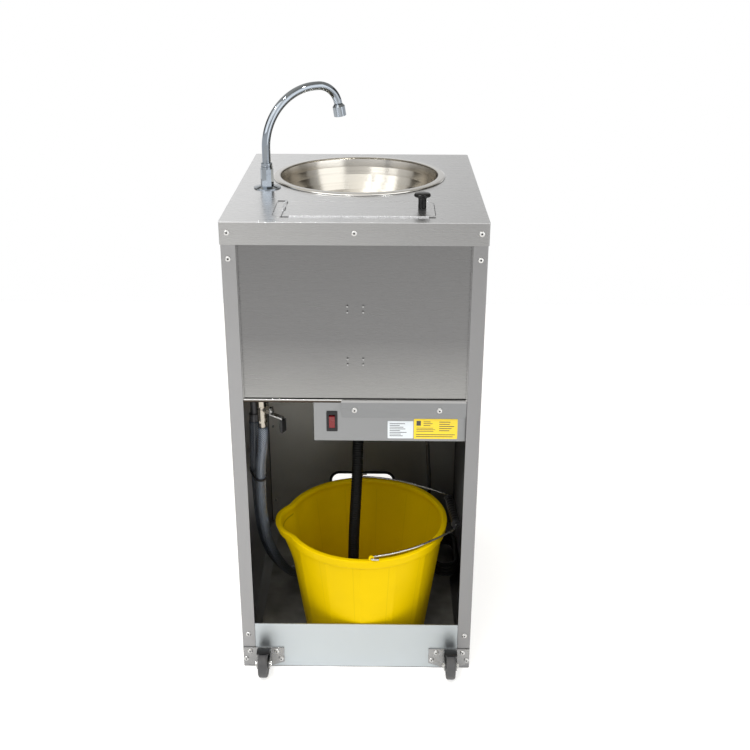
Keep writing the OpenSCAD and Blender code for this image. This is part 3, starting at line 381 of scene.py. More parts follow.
def braid(name, deep, thread_color):
    """Clear tube over a woven sleeve: crossed threads from the tube's own UV."""
    look = Look(name, deep, roughness=0.2, Coat_Weight=0.5, Coat_Roughness=0.1)
    uv = look.add("TexCoord").outputs["UV"]
    split = look.add("SeparateXYZ", {0: uv})
    along = look.math("MULTIPLY", split.outputs[0], 1 / WEAVE_PITCH)
    around = look.math("MULTIPLY", split.outputs[1], WEAVE_THREADS)
    one = look.math("PINGPONG", look.math("ADD", along, around), 0.5)
    two = look.math("PINGPONG", look.math("SUBTRACT", along, around), 0.5)
    thread = look.between(look.math("MINIMUM", one, two), 1, 0, 0.04, 0.14)
    return (look.tint(thread, deep, thread_color, 0, 1).rough(look.noise(60), 0.05)
            .bump(thread, 0.0003, 0.8).done())


def ribbed_plastic():
    """Matt black plastic of the corrugated hose."""
    look = Look("ribbed_plastic", (0.004, 0.004, 0.004), roughness=0.5, Specular_IOR_Level=0.18)
    return (look.tint(look.noise(30), 0.7, 1.6).rough(look.noise(120), 0.09)
            .bump(look.noise(700, 2), 0.00008).done())


def printed_film(name, color):
    """Lightly coated label film or print."""
    look = Look(name, color, roughness=0.38, Coat_Weight=0.3)
    return (look.tint(look.noise(60), 0.96, 1.02).rough(look.noise(90), 0.06)
            .bump(look.noise(300, 2), 0.00002).done())


def floor_sheet():
    """Dark coated floor with dust and drag marks."""
    look = Look("floor_coat", (0.20, 0.198, 0.19), metallic=0.3, roughness=0.5).edges(0.0006)
    drag = look.noise(1.0, 4, look.stretch((12, 90, 1)))
    return (look.tint(look.noise(14, 5), 0.7, 1.7).rough(drag, 0.12)
            .bump(look.noise(400, 2), 0.00005, 0.7).done())


top_steel = worktop_sheet()
# The fifth argument darkens a sheet towards the right: painted shade. The rear panel's inside colour, far
# lighter than its last colour for the outside face, is painted light.
side_steel = brushed("side_steel", (0.275, 0.275, 0.28), 0.30, "z", 0.90)
rear_steel = brushed("rear_steel", (0.88, 0.87, 0.82), 0.48, "x", 0.40, (0.30, 0.30, 0.30))
plate_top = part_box("control_plate")[1].z
# Shelf: the dark brown below is painted shadow under its rolled front edge, and the light tone above is a
# painted highlight along the edge's top.
shelf_steel = split_sheet("shelf_steel", (0.06, 0.045, 0.035), (0.60, 0.60, 0.59),
                          plate_top - 0.0020, 0.24)
# Plate: the lighter tone along its top edge is a painted highlight on the bend.
plate_steel = split_sheet("plate_steel", (0.215, 0.22, 0.225), (0.32, 0.32, 0.32),
                          plate_top - 0.0045, 0.30)
box_steel = brushed("box_steel", (0.245, 0.25, 0.255), 0.30, "x")
film_steel = brushed("film_steel", (0.465, 0.50, 0.52), 0.45, "x")
mill_steel = brushed("mill_steel", (0.36, 0.36, 0.36), 0.36, "z")
# The tap's feed pipe is painted near black: painted shade for a pipe that stands in shadow.
pipe_in_shade = brushed("pipe_in_shade", (0.10, 0.10, 0.105), 0.40, "z")
chrome = polished_chrome()
zinc = bright_metal("zinc", (0.50, 0.50, 0.49), 0.26)
screw_zinc = bright_metal("screw_zinc", (0.56, 0.56, 0.555), 0.30, 60, 0.0001)
# Far lighter than the worktop steel: painted highlight on the lid's raised front edge.
edge_highlight_steel = bright_metal("edge_highlight_steel", (0.90, 0.90, 0.91), 0.30, 60, 0.0001)
bracket_zinc = bright_metal("bracket_zinc", (0.30, 0.30, 0.30), 0.30)
wire_zinc = bright_metal("wire_zinc", (0.50, 0.50, 0.49), 0.30, 40, 0.00005)
nickel = bright_metal("nickel", (0.40, 0.37, 0.32), 0.25)
black_plastic = moulded("black_plastic", (0.011, 0.011, 0.012), 0.38, Specular_IOR_Level=0.3)
black_rubber = moulded("black_rubber", (0.014, 0.014, 0.014), 0.55)
tyre_rubber = moulded("tyre_rubber", (0.055, 0.055, 0.058), 0.50)
gloss_black = moulded("gloss_black", (0.003, 0.003, 0.003), 0.12, 300, 0.00003, Specular_IOR_Level=0.25)
red_plastic = moulded("red_plastic", (0.15, 0.006, 0.008), 0.22, 400, 0.00003)
ivory_plastic = moulded("ivory_plastic", (0.62, 0.58, 0.46), 0.42)
painted_iron = moulded("painted_iron", (0.045, 0.05, 0.055), 0.45, 260, 0.0002)
white_film = printed_film("white_film", (0.62, 0.66, 0.69))
yellow_film = printed_film("yellow_film", (0.76, 0.56, 0.010))
ink = printed_film("ink", (0.03, 0.03, 0.03))
bowl_steel, panel_steel = spun_steel(), panel_sheet()
clear_braid = braid("clear_braid", (0.016, 0.024, 0.038), (0.27, 0.31, 0.37))
dim_braid = braid("dim_braid", (0.018, 0.025, 0.037), (0.09, 0.11, 0.14))
corrugated, floor_coat = ribbed_plastic(), floor_sheet()

LOOKS = {
    top_steel: ["worktop", "filler_lid", "lid_hinge_leaf"],
    side_steel: ["left_side_panel", "right_side_panel"],
    rear_steel: ["rear_panel"],
    panel_steel: ["upper_front_panel"],
    shelf_steel: ["tank_shelf"],
    box_steel: ["control_box"],
    plate_steel: ["control_plate"],
    film_steel: ["kick_panel"],
    mill_steel: ["water_tank", "immersion_heater"],
    pipe_in_shade: ["tap_feed_pipe"],
    bowl_steel: ["basin", "waste_strainer"],
    chrome: ["tap_base", "tap_backnut", "tap_aerator"],
    nickel: ["valve_body", "valve_gland_nut", "tank_outlet"],
    screw_zinc: ["panel_screws"],
    zinc: ["valve_lever", "caster_axles", "lid_hinge_pin",
           "waste_hose_clip", "pump_spring", "pedal_pin", "pump_piston", "pump_pedal"],
    bracket_zinc: ["caster_brackets"],
    black_rubber: ["pedal_edge_trim", "basin_gasket", "pedal_pad"],
    black_plastic: ["switch_bezel", "mains_plug", "waste_tailpiece", "lever_grip", "cable_tie",
                    "caster_guards"],
    red_plastic: ["switch_rocker"],
    white_film: ["white_label"],
    yellow_film: ["yellow_label"],
    ivory_plastic: ["thermostat"],
    painted_iron: ["pump_body"],
    tyre_rubber: ["left_caster_wheel", "right_caster_wheel"],
    floor_coat: ["floor_panel"],
}
for finish, names in LOOKS.items():
    for name in names:
        nodes[name].data.materials.clear()
        nodes[name].data.materials.append(finish)


# ---- cords ----

def in_metres(route):
    """Route written in millimetres, in metres."""
    return [tuple(v / 1000 for v in p) for p in route]


MAINS = in_metres([
    (128, -150, 452), (128, -150, 440), (128.3, -146, 426), (129, -134, 412), (130, -115, 402),
    (131, -92, 393), (132.5, -66, 382), (134, -40, 373), (135.2, -20, 362), (136, -11.5, 340),
    (137.6, -9, 310), (140.5, -2, 272), (142, 6, 240), (143, 16, 205), (143, 28, 165),
    (143.5, 40, 130), (145, 53, 98), (148, 70, 68), (152, 90, 50), (156, 110, 41), (158.7, 124, 39)])
PLUG_LEAD = in_metres([(159, 146, 7.2), (159, 160, 9.8), (159, 170, 11.8), (159, 176, 12)])
SUPPLY = in_metres([
    (-164, -220, 484), (-164, -220, 468), (-167, -214, 440), (-172.5, -203, 405), (-175.5, -190, 371),
    (-178.5, -172, 325), (-179.5, -155, 277), (-179, -135, 238), (-178.5, -112, 196), (-175, -85, 155),
    (-170, -62, 120), (-161.5, -38, 84), (-150, -14, 50), (-133, 10, 25), (-109, 32, 13),
    (-86, 50, 12), (-64, 74, 14), (-48, 100, 20), (-42, 120, 24), (-42, 138, 24)])
DELIVERY = in_metres([
    (-182, -194, 484), (-182, -194, 468), (-183.5, -191, 440), (-185.5, -184, 405), (-186.5, -172, 371),
    (-188, -153, 325), (-189, -136, 277), (-190, -116, 238), (-190, -93, 196), (-188, -66, 155),
    (-184, -43, 120), (-177, -18, 84), (-166, 6, 50), (-151, 24, 25), (-128, 44, 13),
    (-104, 62, 12), (-84, 82, 14), (-68, 104, 20), (-62, 122, 24), (-62, 138, 24)])
WASTE = in_metres([
    (0, 70, 640), (0, 70, 615), (0, 68, 590), (0, 60, 560), (0, 44, 530), (0, 22, 500),
    (0, -5, 468), (0, -30, 436), (0, -55, 400), (-1, -76, 360), (-2, -92, 320), (-4, -103, 280),
    (-6, -110, 240), (-8, -114, 200), (-9, -116, 160), (-10, -117, 125)])
CABLE_D, BRAID_D, WASTE_D = 0.008, 0.018, 0.0215


HANK_TURNS, PER_TURN = 4.24, 44
HANK_ENDS = (0.058, 0.132)
HANK_TOP, HANK_FOOT = 0.0392, 0.0069


def hank_turns(turns, per_turn):
    """Racetrack turns of spare cable from the top of the hank down to the floor, one under another."""
    low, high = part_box("cable_hank")
    x = (low.x + high.x) / 2
    r = (high.x - low.x - CABLE_D) / 2
    straight, bend = HANK_ENDS[1] - HANK_ENDS[0], math.pi * r
    loop = 2 * (straight + bend)
    points = []
    for i in range(round(turns * per_turn) + 1):
        run = i / per_turn * loop
        s = run % loop
        if s < straight:
            p = (x - r, HANK_ENDS[0] + s)
        elif s < straight + bend:
            a = (s - straight) / r
            p = (x - r * math.cos(a), HANK_ENDS[1] + r * math.sin(a))
        elif s < 2 * straight + bend:
            p = (x + r, HANK_ENDS[1] - (s - straight - bend))
        else:
            a = (s - 2 * straight - bend) / r
            p = (x + r * math.cos(a), HANK_ENDS[0] - r * math.sin(a))
        points.append((*p, HANK_TOP - (HANK_TOP - HANK_FOOT) * i / (turns * per_turn)))
    return points, straight / loop


turns, start_share = hank_turns(HANK_TURNS, PER_TURN)
skip = round(start_share * PER_TURN)
mains_path = smooth_path(MAINS + turns[skip:] + PLUG_LEAD, 0.006)
mains = part(tube("mains_cable_run", mains_path, CABLE_D / 2, 14), black_rubber, "cabinet",
             "mains_cable", "cable_hank", slot="black_rubber")

waste_path = smooth_path(WASTE, 0.0007)
RIB, RIB_DEPTH = 0.0044, 0.0011


def ribbed_radius(run):
    """Radius of the corrugated hose at a distance along it."""
    return WASTE_D / 2 - RIB_DEPTH * (0.5 + 0.5 * math.cos(math.tau * run / RIB)) ** 2


ribs = part(tube("waste_hose_run", waste_path, ribbed_radius, 28), corrugated, "cabinet",
            "waste_hose", slot="corrugated_hose")
supply_path, delivery_path = smooth_path(SUPPLY, 0.005), smooth_path(DELIVERY, 0.005)
supply = part(tube("supply_hose_run", supply_path, BRAID_D / 2, 32), clear_braid, "cabinet",
              "supply_hose", slot="braided_hose")
delivery = part(tube("delivery_hose_run", delivery_path, BRAID_D / 2, 32), dim_braid, "cabinet",
                "delivery_hose", slot="braided_hose")

# ---- bucket, bail and grip ----

BUCKET_TURN = math.radians(5)
BUCKET = Matrix.Translation((0.015, -0.130, 0.002)) @ Matrix.Rotation(BUCKET_TURN, 4, "Z")
BUCKET_H, BAND_H, WALL = 0.248, 0.020, 0.0025
FOOT_R, WALL_R, RIM_R = 0.1165, 0.1495, 0.157
SPOUT_OUT, SPOUT_HALF, SPOUT_H, FACETS = 0.0165, 0.43, 0.085, 14


def glossy_yellow():
    """Bucket plastic with painted shade along the wall's creases, a painted shadow under the rim band and a
    painted highlight on the rim.
    """
    look = Look("glossy_yellow", (0.67, 0.462, 0.0), roughness=0.40, Specular_IOR_Level=0.05)
    from_axis, reach = look.about(-BUCKET.translation)
    split = look.add("SeparateXYZ", {0: from_axis}).outputs
    turn = look.math("ADD", look.math("ARCTAN2", split[1], split[0]), math.pi / 2 - BUCKET_TURN)
    crease = look.math("PINGPONG", look.math("MULTIPLY", turn, FACETS / math.tau), 0.5)
    band_foot = BUCKET_H - BAND_H
    on_wall = look.between(split[2], 1, 0, band_foot - 0.002, band_foot)
    # Painted shade: thin darker lines along the wall's creases.
    line = look.math("MULTIPLY", look.between(crease, 0, 0.09, 0.482, 0.494), on_wall)
    # Painted shadow: a darker line just under the rim band.
    under = look.math("ABSOLUTE", look.math("ADD", split[2], BAND_H - BUCKET_H - 0.0005))
    band_shadow = look.math("MULTIPLY", look.between(under, 0.45, 0, 0.0005, 0.0024),
                       look.between(reach, 0, 1, WALL_R - 0.0018, WALL_R - 0.0008))
    # Painted highlight: the top of the rim is lighter.
    rim = look.between(split[2], 0, 0.16, BUCKET_H - 0.0018, BUCKET_H - 0.0008)
    tone = look.math("ADD", look.math("SUBTRACT", look.math("SUBTRACT", 1.0, line), band_shadow), rim)
    scuff = look.noise(1.0, 4, look.stretch((30, 30, 5)))
    shade = look.math("MULTIPLY", tone, look.between(look.noise(9), 0.96, 1.04))
    return (look.tint(shade, (0.0, 0.0, 0.0), (0.80, 0.552, 0.0), 0, 1.2).rough(scuff, 0.07)
            .bump(look.noise(55, 2), 0.0002, 0.35).done())


def bucket_radius(angle, z, inset):
    """Distance of the bucket's wall from its axis.

    The wall is a faceted cone with a rim band and a round pouring spout at -X.
    """
    edge = BUCKET_H - BAND_H
    wall = FOOT_R + (WALL_R - FOOT_R) * min(z / edge, 1)
    band = max(0.0, min(1.0, (z - edge) / 0.0030))
    band = band * band * (3 - 2 * band)
    if inset == 0:
        half = math.pi / FACETS
        off = (angle + math.pi / 2 - BUCKET_TURN + half) % (2 * half) - half
        flat = math.cos(half) / math.cos(off)
        crease = math.exp(-((half - abs(off)) * wall / 0.0022) ** 2)
        wall *= 1 - 0.30 * (1 - flat) * (1 - band)
        wall += 0.0005 * crease * (1 - band) * min(1, max(0, (edge - z) / 0.004))
        wall += band * (RIM_R - 0.003 - WALL_R + 0.003 * (z - edge) / BAND_H)
    share = abs(angle % math.tau - math.pi) / SPOUT_HALF
    climb = max(0.0, (z - BUCKET_H + SPOUT_H) / SPOUT_H)
    if share < 1:
        wall += SPOUT_OUT * climb ** 1.3 * 0.5 * (1 + math.cos(math.pi * share ** 1.45))
    return wall - inset


def bucket_mesh(steps=280):
    """Bucket as rings of points: up the outside, over the rim, down the inside and across the floor."""
    outer = [0.0, 0.004, 0.012, *(0.012 + 0.013 * i for i in range(1, 16)), 0.2185, 0.2235, 0.2260, 0.2280,
             0.2288, 0.2296, 0.2303, 0.2312, 0.2350, 0.2400]
    inner = [0.2370, 0.2320, 0.2240, *(0.2160 - 0.013 * i for i in range(0, 16)), 0.0095]
    rings = [(z, 0.0035 if z == 0 else 0.0008 if z == 0.004 else 0.0, False) for z in outer]
    rim = ((38, 0), (22, 1), (9, 6), (2, 15), (0, 27), (0, 70), (2, 86), (9, 100), (22, 110), (45, 114),
           (70, 112))
    rings += [(BUCKET_H - down / 10000, inset / 10000, False) for down, inset in rim]
    rings += [(z, WALL, True) for z in inner]
    verts, faces = [], []
    for z, inset, inside in rings:
        for i in range(steps):
            a = math.tau * i / steps
            r = bucket_radius(a, z, WALL) if inside else bucket_radius(a, z, 0) - inset
            verts.append(BUCKET @ Vector((r * math.cos(a), r * math.sin(a), z)))
    floors = [(0.0045, FOOT_R - 0.010), (0.0032, FOOT_R - 0.022), (0.0032, FOOT_R * 0.4), (0.0040, 0.006)]
    for z, r in floors:
        verts += [BUCKET @ Vector((r * math.cos(math.tau * i / steps), r * math.sin(math.tau * i / steps), z))
                  for i in range(steps)]
    total = len(rings) + len(floors)
    for j in range(total - 1):
        for i in range(steps):
            k = (i + 1) % steps
            faces.append((j * steps + i, j * steps + k, (j + 1) * steps + k, (j + 1) * steps + i))
    faces.append([(total - 1) * steps + i for i in range(steps)])
    faces.append([i for i in reversed(range(steps))])
    return mesh_object("bucket_shell", verts, faces)


bucket_yellow = glossy_yellow()
part(bucket_mesh(), bucket_yellow, "bucket", "bucket", slot="yellow_plastic")


def ear(side):
    """Moulded boss on the rim, with the hole that the bail hooks into."""
    at = BUCKET @ Matrix.Translation((0, side * 0.1535, BUCKET_H + 0.0015))
    profile = rounded([(0.0018, -0.0024), (0.0050, -0.0024), (0.0050, 0.0024), (0.0018, 0.0024)], 0.0010)
    turned = at @ Matrix.Translation((0, 0, 0.0035)) @ Matrix.Rotation(math.pi / 2, 4, "X")
    return lathe(f"bucket_ear_{'a' if side < 0 else 'b'}", [*profile, profile[0]], 32, turned)


for side in (-1, 1):
    part(ear(side), bucket_yellow, "bucket", slot="yellow_plastic")

WIRE_R, EAR_R, WIRE_Z, REACH = 0.0018, 0.1535, BUCKET_H + 0.005, 0.168
ARM = in_metres([(0, 1), (0, 4), (3, 5), (10, 6), (40, 13), (80, 29), (120, 54), (150, 76), (164, 89),
                 (168, 99), (168, 110)])
hook = [(0.013, -0.0052), (0.006, -0.0050), (0.001, -0.0042), (0, -0.002)]
near = [Vector((x, y - EAR_R, WIRE_Z)) for x, y in hook + ARM]
far = [Vector((p.x, -p.y, p.z)) for p in reversed(near)]
wire = [BUCKET @ p for p in smooth_path(near + far, 0.003)]
part(tube("bail_wire", wire, WIRE_R, 14), wire_zinc, "bail", "bucket_bail", slot="zinc_steel")
grip_place = BUCKET @ Matrix.Translation((REACH, 0, WIRE_Z)) @ Matrix.Rotation(math.pi / 2, 4, "X")
grip_profile = [(0.0022, -0.0485), (0.0093, -0.0485), (0.0093, -0.0450), (0.0077, -0.0440)]
for i in range(-4, 5):
    z = 0.0092 * i
    grip_profile += [(0.0077, z - 0.0030), (0.0081, z - 0.0018), (0.0081, z + 0.0018), (0.0077, z + 0.0030)]
grip_profile += [(0.0077, 0.0440), (0.0093, 0.0450), (0.0093, 0.0485), (0.0022, 0.0485)]
part(lathe("bail_hand_grip", rounded(grip_profile, 0.0008), 40, grip_place), black_plastic, "bail",
     "bail_grip", slot="black_plastic")


# ---- swan neck ----

worktop_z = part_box("worktop")[1].z
NECK_FOOT, NECK_RISE, NECK_R, NECK_RUN = worktop_z + 0.013, worktop_z + 0.069, 0.100, 0.005
TIP_R, TIP_TURN, SPOUT_TURN, COLLAR_FOOT = 0.042, 80, 32, worktop_z + 0.0384


def swan_neck():
    """Centre line of the spout in its own plane: upright, large bend, short straight, bend of the tip."""
    line = [(0, NECK_FOOT + (NECK_RISE - NECK_FOOT) * i / 8) for i in range(8)]
    for a in range(0, 91, 2):
        turn = math.radians(a)
        line.append((NECK_R * (1 - math.cos(turn)), NECK_RISE + NECK_R * math.sin(turn)))
    for a in range(0, TIP_TURN + 1, 4):
        turn = math.radians(a)
        line.append((NECK_R + NECK_RUN + TIP_R * math.sin(turn),
                     NECK_RISE + NECK_R - TIP_R * (1 - math.cos(turn))))
    return line


tap = middle("tap_base")
swung = Matrix.Translation((tap.x, tap.y, 0)) @ Matrix.Rotation(math.radians(SPOUT_TURN), 4, "Z")
part(tube("swan_neck_tube", [swung @ Vector((x, 0, z)) for x, z in swan_neck()], 0.0075, 56), chrome, "spout",
     "tap_spout", slot="chrome_plating")
collar = rounded([(0.0070, COLLAR_FOOT), (0.0100, COLLAR_FOOT), (0.0100, COLLAR_FOOT + 0.006),
                  (0.0070, COLLAR_FOOT + 0.006)], 0.0008)
part(lathe("spout_collar", collar, 56, Matrix.Translation((tap.x, tap.y, 0))), chrome, "spout",
     slot="chrome_plating")


# ---- small turned pieces ----

knob = middle("lid_knob")
knob_profile = rounded([(0.0, -0.0066), (0.0040, -0.0066), (0.0040, 0.0), (0.0070, 0.0002),
                        (0.0067, 0.0070), (0.0066, 0.0150), (0.0085, 0.0185), (0.0135, 0.0195),
                        (0.0143, 0.0222), (0.0125, 0.0250), (0.0070, 0.0259), (0.0, 0.0260)], 0.0022, 6)
part(lathe("lid_knob_turned", knob_profile, 56, Matrix.Translation((knob.x, knob.y, worktop_z))), gloss_black,
     "lid", "lid_knob", slot="black_plastic")

gland_x, gland_y = MAINS[0][0], MAINS[0][1]
box_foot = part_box("control_box")[0].z
nut_foot = box_foot - 0.0061
relief = [(0.0043, box_foot - 0.028), (0.0056, box_foot - 0.028)]
for i in range(6):
    z, r = box_foot - 0.0262 + 0.0030 * i, 0.0057 + 0.00045 * i
    relief += [(r, z), (r + 0.0007, z + 0.0006), (r + 0.0007, z + 0.0014), (r, z + 0.0020)]
relief += [(0.0092, nut_foot - 0.0005), (0.0095, nut_foot), (0.0043, nut_foot)]
part(lathe("cable_gland_relief", relief, 36, Matrix.Translation((gland_x, gland_y, 0))), black_plastic,
     "cabinet", slot="black_plastic")


def hexagon(name, flats, low, high, x, y, chamfer=0.0008, bore=0.0044):
    """Nut with chamfered corners, standing on its axis."""
    side, corner = flats * 0.50, flats * 0.577
    mesh = lathe(name, [(bore, low), (side, low), (corner, low + chamfer), (corner, high - chamfer),
                        (side, high), (bore, high)], 6, Matrix.Translation((x, y, 0)))
    mesh.data.polygons.foreach_set("use_smooth", [False] * len(mesh.data.polygons))
    return mesh


part(hexagon("cable_gland_nut", 0.020, nut_foot, box_foot - 0.0001, gland_x, gland_y), black_plastic,
     "cabinet", "cable_gland", slot="black_plastic")


FERRULE_LENGTH = 0.0165


def ferrule(name, place):
    """Crimped sleeve over the end of a braided hose."""
    r = BRAID_D / 2
    profile = [(r - 0.0004, 0.0), (r + 0.0006, 0.0)]
    for i in range(3):
        z = 0.0025 + 0.0045 * i
        profile += [(r + 0.0009, z), (r + 0.0003, z + 0.0010),
                    (r + 0.0003, z + 0.0022), (r + 0.0009, z + 0.0032)]
    profile += [(r + 0.0006, FERRULE_LENGTH), (r - 0.0025, FERRULE_LENGTH + 0.0005)]
    return lathe(name, profile, 40, place)


for label, route in (("supply", SUPPLY), ("delivery", DELIVERY)):
    foot = Vector(route[-1]) - Vector((0, FERRULE_LENGTH, 0))
    at = Matrix.Translation(foot) @ Matrix.Rotation(-math.pi / 2, 4, "X")
    part(ferrule(f"{label}_foot_sleeve", at), zinc, "cabinet", slot="zinc_steel")


# ---- printed labels and weld marks ----

def plate_marks(name, node, bars, finish, proud=0.00006):
    """Plain printed bars on the front of a label.

    Each bar is (left, right, low, high) as shares of the label's width and height.
    """
    low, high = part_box(node)
    verts, faces = [], []
    for left, right_, foot, head in bars:
        x0, x1 = (low.x + (high.x - low.x) * v for v in (left, right_))
        z0, z1 = (low.z + (high.z - low.z) * v for v in (foot, head))
        k = len(verts)
        for y in (low.y - proud, low.y + 0.0001):
            verts += [(x0, y, z0), (x1, y, z0), (x1, y, z1), (x0, y, z1)]
        faces += [(k, k + 1, k + 2, k + 3), (k + 7, k + 6, k + 5, k + 4)]
        faces += [(k + i, k + 4 + i, k + 4 + (i + 1) % 4, k + (i + 1) % 4) for i in range(4)]
    return part(mesh_object(name, verts, faces, smooth=False), finish, "cabinet", slot="black_plastic")


def rows(left, right_, foot, head, count, fill):
    """Rows of bars with uneven ends, like a block of print seen from far off."""
    out = []
    for i in range(count):
        z = foot + (head - foot) * (i + 0.5) / count
        half = (head - foot) / count * 0.17
        out.append((left, left + (right_ - left) * (fill + (1 - fill) * rng.random()), z - half, z + half))
    return out


plate_marks("white_label_bars", "white_label", rows(0.08, 0.90, 0.10, 0.90, 8, 0.45), ink)
plate_marks("yellow_label_bars", "yellow_label",
            rows(0.22, 0.50, 0.62, 0.90, 3, 0.55) + rows(0.58, 0.95, 0.36, 0.90, 5, 0.6)
            + rows(0.06, 0.50, 0.34, 0.58, 3, 0.7) + rows(0.05, 0.95, 0.06, 0.26, 2, 0.9)
            + [(0.06, 0.16, 0.66, 0.90)], ink)

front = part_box("upper_front_panel")
WELD_DOT = [(0.0, 0.00025), (0.0009, 0.0002), (0.0015, 0.0)]
marks = []
for x in (-0.012, 0.014):
    for z in (0.062, 0.072, 0.155, 0.165):
        centre = Vector((x, front[0].y - 0.00005, front[0].z + z))
        turn = Matrix.Translation(centre) @ Matrix.Rotation(math.pi / 2, 4, "X")
        dot = lathe(f"weld_mark_{len(marks)}", WELD_DOT, 16, turn)
        marks.append(part(dot, mill_steel, "cabinet", slot="brushed_sheet"))


def strip(name, low, high, finish, body):
    """Thin box between two corners."""
    verts = [(x, y, z) for z in (low[2], high[2]) for x, y in ((low[0], low[1]), (high[0], low[1]),
                                                              (high[0], high[1]), (low[0], high[1]))]
    faces = [(3, 2, 1, 0), (4, 5, 6, 7)] + [(i, (i + 1) % 4, (i + 1) % 4 + 4, i + 4) for i in range(4)]
    return part(mesh_object(name, verts, faces, smooth=False), finish, body, slot="brushed_sheet")


lid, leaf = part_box("filler_lid"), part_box("lid_hinge_leaf")
JOINT, RAISED, GAP_SHADOW_RISE = 0.0009, 0.0018, 0.0007
EDGE_WIDE, GAP_SHADOW_WIDE, LEAF_SHADOW_WIDE = 0.0018, 0.0011, 0.0020
sunk = worktop_z - 0.0001
front_edge = (lid[0].x + 0.014, lid[1].x - 0.011)
# The lid's front edge is a raised lip, made brighter than the lid: a real raised edge with a painted
# highlight.
strip("lid_front_edge", (front_edge[0], lid[0].y, sunk),
      (front_edge[1], lid[0].y + EDGE_WIDE, worktop_z + RAISED), edge_highlight_steel, "lid")
# Painted shadow: black strips beside the lid's side joints stand in for the shade in the gaps.
for label, x0, x1 in (("left", lid[0].x, front_edge[0]), ("right", front_edge[1], lid[1].x)):
    strip(f"lid_gap_shadow_{label}", (x0, lid[0].y - JOINT - GAP_SHADOW_WIDE, sunk),
          (x1, lid[0].y - JOINT, worktop_z + GAP_SHADOW_RISE), black_plastic, "cabinet")
# Painted shadow: a black strip along the hinge leaf's rear joint stands in for the shade in that gap.
strip("leaf_gap_shadow", (leaf[0].x, leaf[1].y, sunk),
      (lid[0].x, leaf[1].y + LEAF_SHADOW_WIDE, worktop_z + GAP_SHADOW_RISE), black_plastic, "cabinet")


def islands(mesh):
    """Vertex groups of the separate shells in a mesh."""
    lead = list(range(len(mesh.vertices)))

    def root(i):
        while lead[i] != i:
            lead[i] = lead[lead[i]]
            i = lead[i]
        return i

    for edge in mesh.edges:
        lead[root(edge.vertices[0])] = root(edge.vertices[1])
    groups = {}
    for i in range(len(lead)):
        groups.setdefault(root(i), []).append(mesh.vertices[i].co)
    return groups.values()


SCREW_WIDE, SOCKET_R, SOCKET_DEEP = 0.008, 0.0018, 0.0007


def socket_shade_discs():
    """Dark discs in the screws' sockets: painted shade, standing in for the shade down in the sockets."""
    verts, faces = [], []
    for group in islands(nodes["panel_screws"].data):
        low = Vector([min(v[i] for v in group) for i in range(3)])
        high = Vector([max(v[i] for v in group) for i in range(3)])
        if high.z - low.z < SCREW_WIDE:
            continue
        side = -1 if low.y < 0 else 1
        y = (low.y + SOCKET_DEEP) if side < 0 else (high.y - SOCKET_DEEP)
        mid = (low + high) / 2
        k = len(verts)
        for i in range(6):
            a = math.tau * i / 6 * -side
            verts.append((mid.x + SOCKET_R * math.cos(a), y, mid.z + SOCKET_R * math.sin(a)))
        faces.append(tuple(range(k, k + 6)))
    return mesh_object("socket_shade_discs", verts, faces, smooth=False)


part(socket_shade_discs(), black_plastic, "cabinet", slot="black_plastic")


# ---- floor, lights ----

bpy.ops.mesh.primitive_plane_add(size=8, location=(0, -2.2, -0.0005))
ground = bpy.context.object
ground.name = "studio_floor"
paper = Look("studio_paper", (0.90, 0.90, 0.90), roughness=0.9, Emission_Color=(1, 1, 1, 1),
             Emission_Strength=0.42)
ground.data.materials.append(paper.tint(paper.noise(2), 0.995, 1.005).done())


def softbox(name, place, aim, size, power):
    """Rectangular studio lamp that points at a place."""
    light = bpy.data.lights.new(name, "AREA")
    light.shape, light.size, light.size_y, light.energy = "RECTANGLE", *size, power
    obj = bpy.data.objects.new(name, light)
    obj.location = place
    obj.rotation_euler = (Vector(aim) - Vector(place)).to_track_quat("-Z", "Y").to_euler()
    bpy.context.scene.collection.objects.link(obj)


def dark_card(name, place, size, tone):
    """Dark studio card that shows only in reflections."""
    bpy.ops.mesh.primitive_plane_add(size=1, location=place)
    card = bpy.context.object
    card.name, card.scale = name, (size[0], size[1], 1)
    card.rotation_euler = (Vector((0, 0, 0.7)) - Vector(place)).to_track_quat("Z", "Y").to_euler()
    card.data.materials.append(moulded(name + "_cloth", tone, 0.9))
    card.visible_camera = card.visible_shadow = False


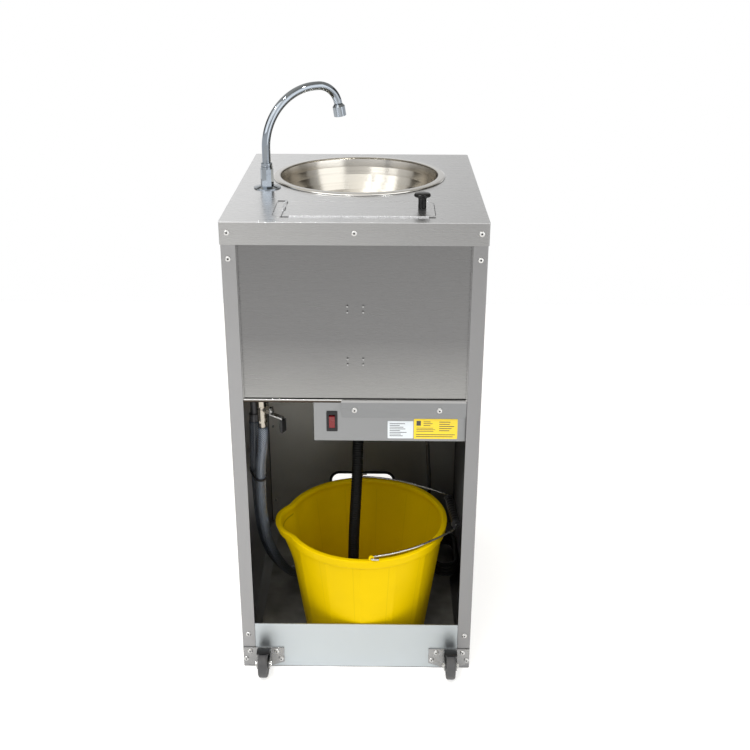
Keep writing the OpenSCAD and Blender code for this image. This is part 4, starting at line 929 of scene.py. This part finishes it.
softbox("key", (-1.6, -1.9, 2.6), (0, 0, 0.6), (2.6, 2.6), 38)
softbox("fill", (2.0, -1.8, 1.5), (-0.1, 0, 0.35), (2.2, 2.4), 25)
softbox("front", (0.1, -2.7, 2.6), (0, 0, 0.8), (2.8, 1.7), 14)
for i, (x, y) in enumerate(((-1.25, -0.65), (-0.33, -0.75), (0.85, -0.70))):
    softbox(f"top_{i}", (x, y, 2.5), (0, 0.05, 0.8), (0.13, 0.11), 6)
dark_card("card_left", (-2.16, 0.99, 1.58), (2.0, 1.0), (0.035, 0.028, 0.02))
dark_card("card_right", (2.16, 0.99, 1.58), (2.0, 1.0), (0.035, 0.028, 0.02))
dark_card("card_window_left", (-1.0, -2.5, 2.5), (0.22, 1.3), (0.02, 0.02, 0.02))
dark_card("card_window_right", (1.25, -2.5, 2.5), (0.32, 1.3), (0.02, 0.02, 0.02))
dark_card("card_behind_tap", (-0.35, 2.9, 2.6), (2.4, 0.35), (0.03, 0.03, 0.03))

# White studio near and below the horizon, warm and dimmer overhead, dimmer on the right.
world = bpy.data.worlds.new("studio")
world.use_nodes = True
tree = world.node_tree
aim = tree.nodes.new("ShaderNodeSeparateXYZ")
tree.links.new(tree.nodes.new("ShaderNodeTexCoord").outputs["Generated"], aim.inputs[0])


def world_ramp(source, start, end, low, high):
    """Smooth step of a direction's height or side, from low to high."""
    ramp = tree.nodes.new("ShaderNodeMapRange")
    ramp.interpolation_type = "SMOOTHSTEP"
    for key, value in (("From Min", start), ("From Max", end), ("To Min", low), ("To Max", high)):
        ramp.inputs[key].default_value = value
    tree.links.new(source, ramp.inputs["Value"])
    return ramp.outputs[0]


overhead = tree.nodes.new("ShaderNodeMix")
overhead.data_type = "RGBA"
overhead.inputs[6].default_value, overhead.inputs[7].default_value = (1, 1, 1, 1), (0.86, 0.82, 0.74, 1)
tree.links.new(world_ramp(aim.outputs[2], 0.10, 0.75, 0, 1), overhead.inputs["Factor"])
tree.links.new(overhead.outputs[2], tree.nodes["Background"].inputs["Color"])
dimmer = tree.nodes.new("ShaderNodeMath")
dimmer.operation = "MULTIPLY_ADD"
tree.links.new(world_ramp(aim.outputs[2], 0.0, 0.22, 0, 1), dimmer.inputs[0])
tree.links.new(world_ramp(aim.outputs[0], -0.25, 0.5, -0.12, -0.45), dimmer.inputs[1])
dimmer.inputs[2].default_value = 1.0
tree.links.new(dimmer.outputs[0], tree.nodes["Background"].inputs["Strength"])
bpy.context.scene.world = world
bpy.context.scene.view_settings.view_transform = "Standard"
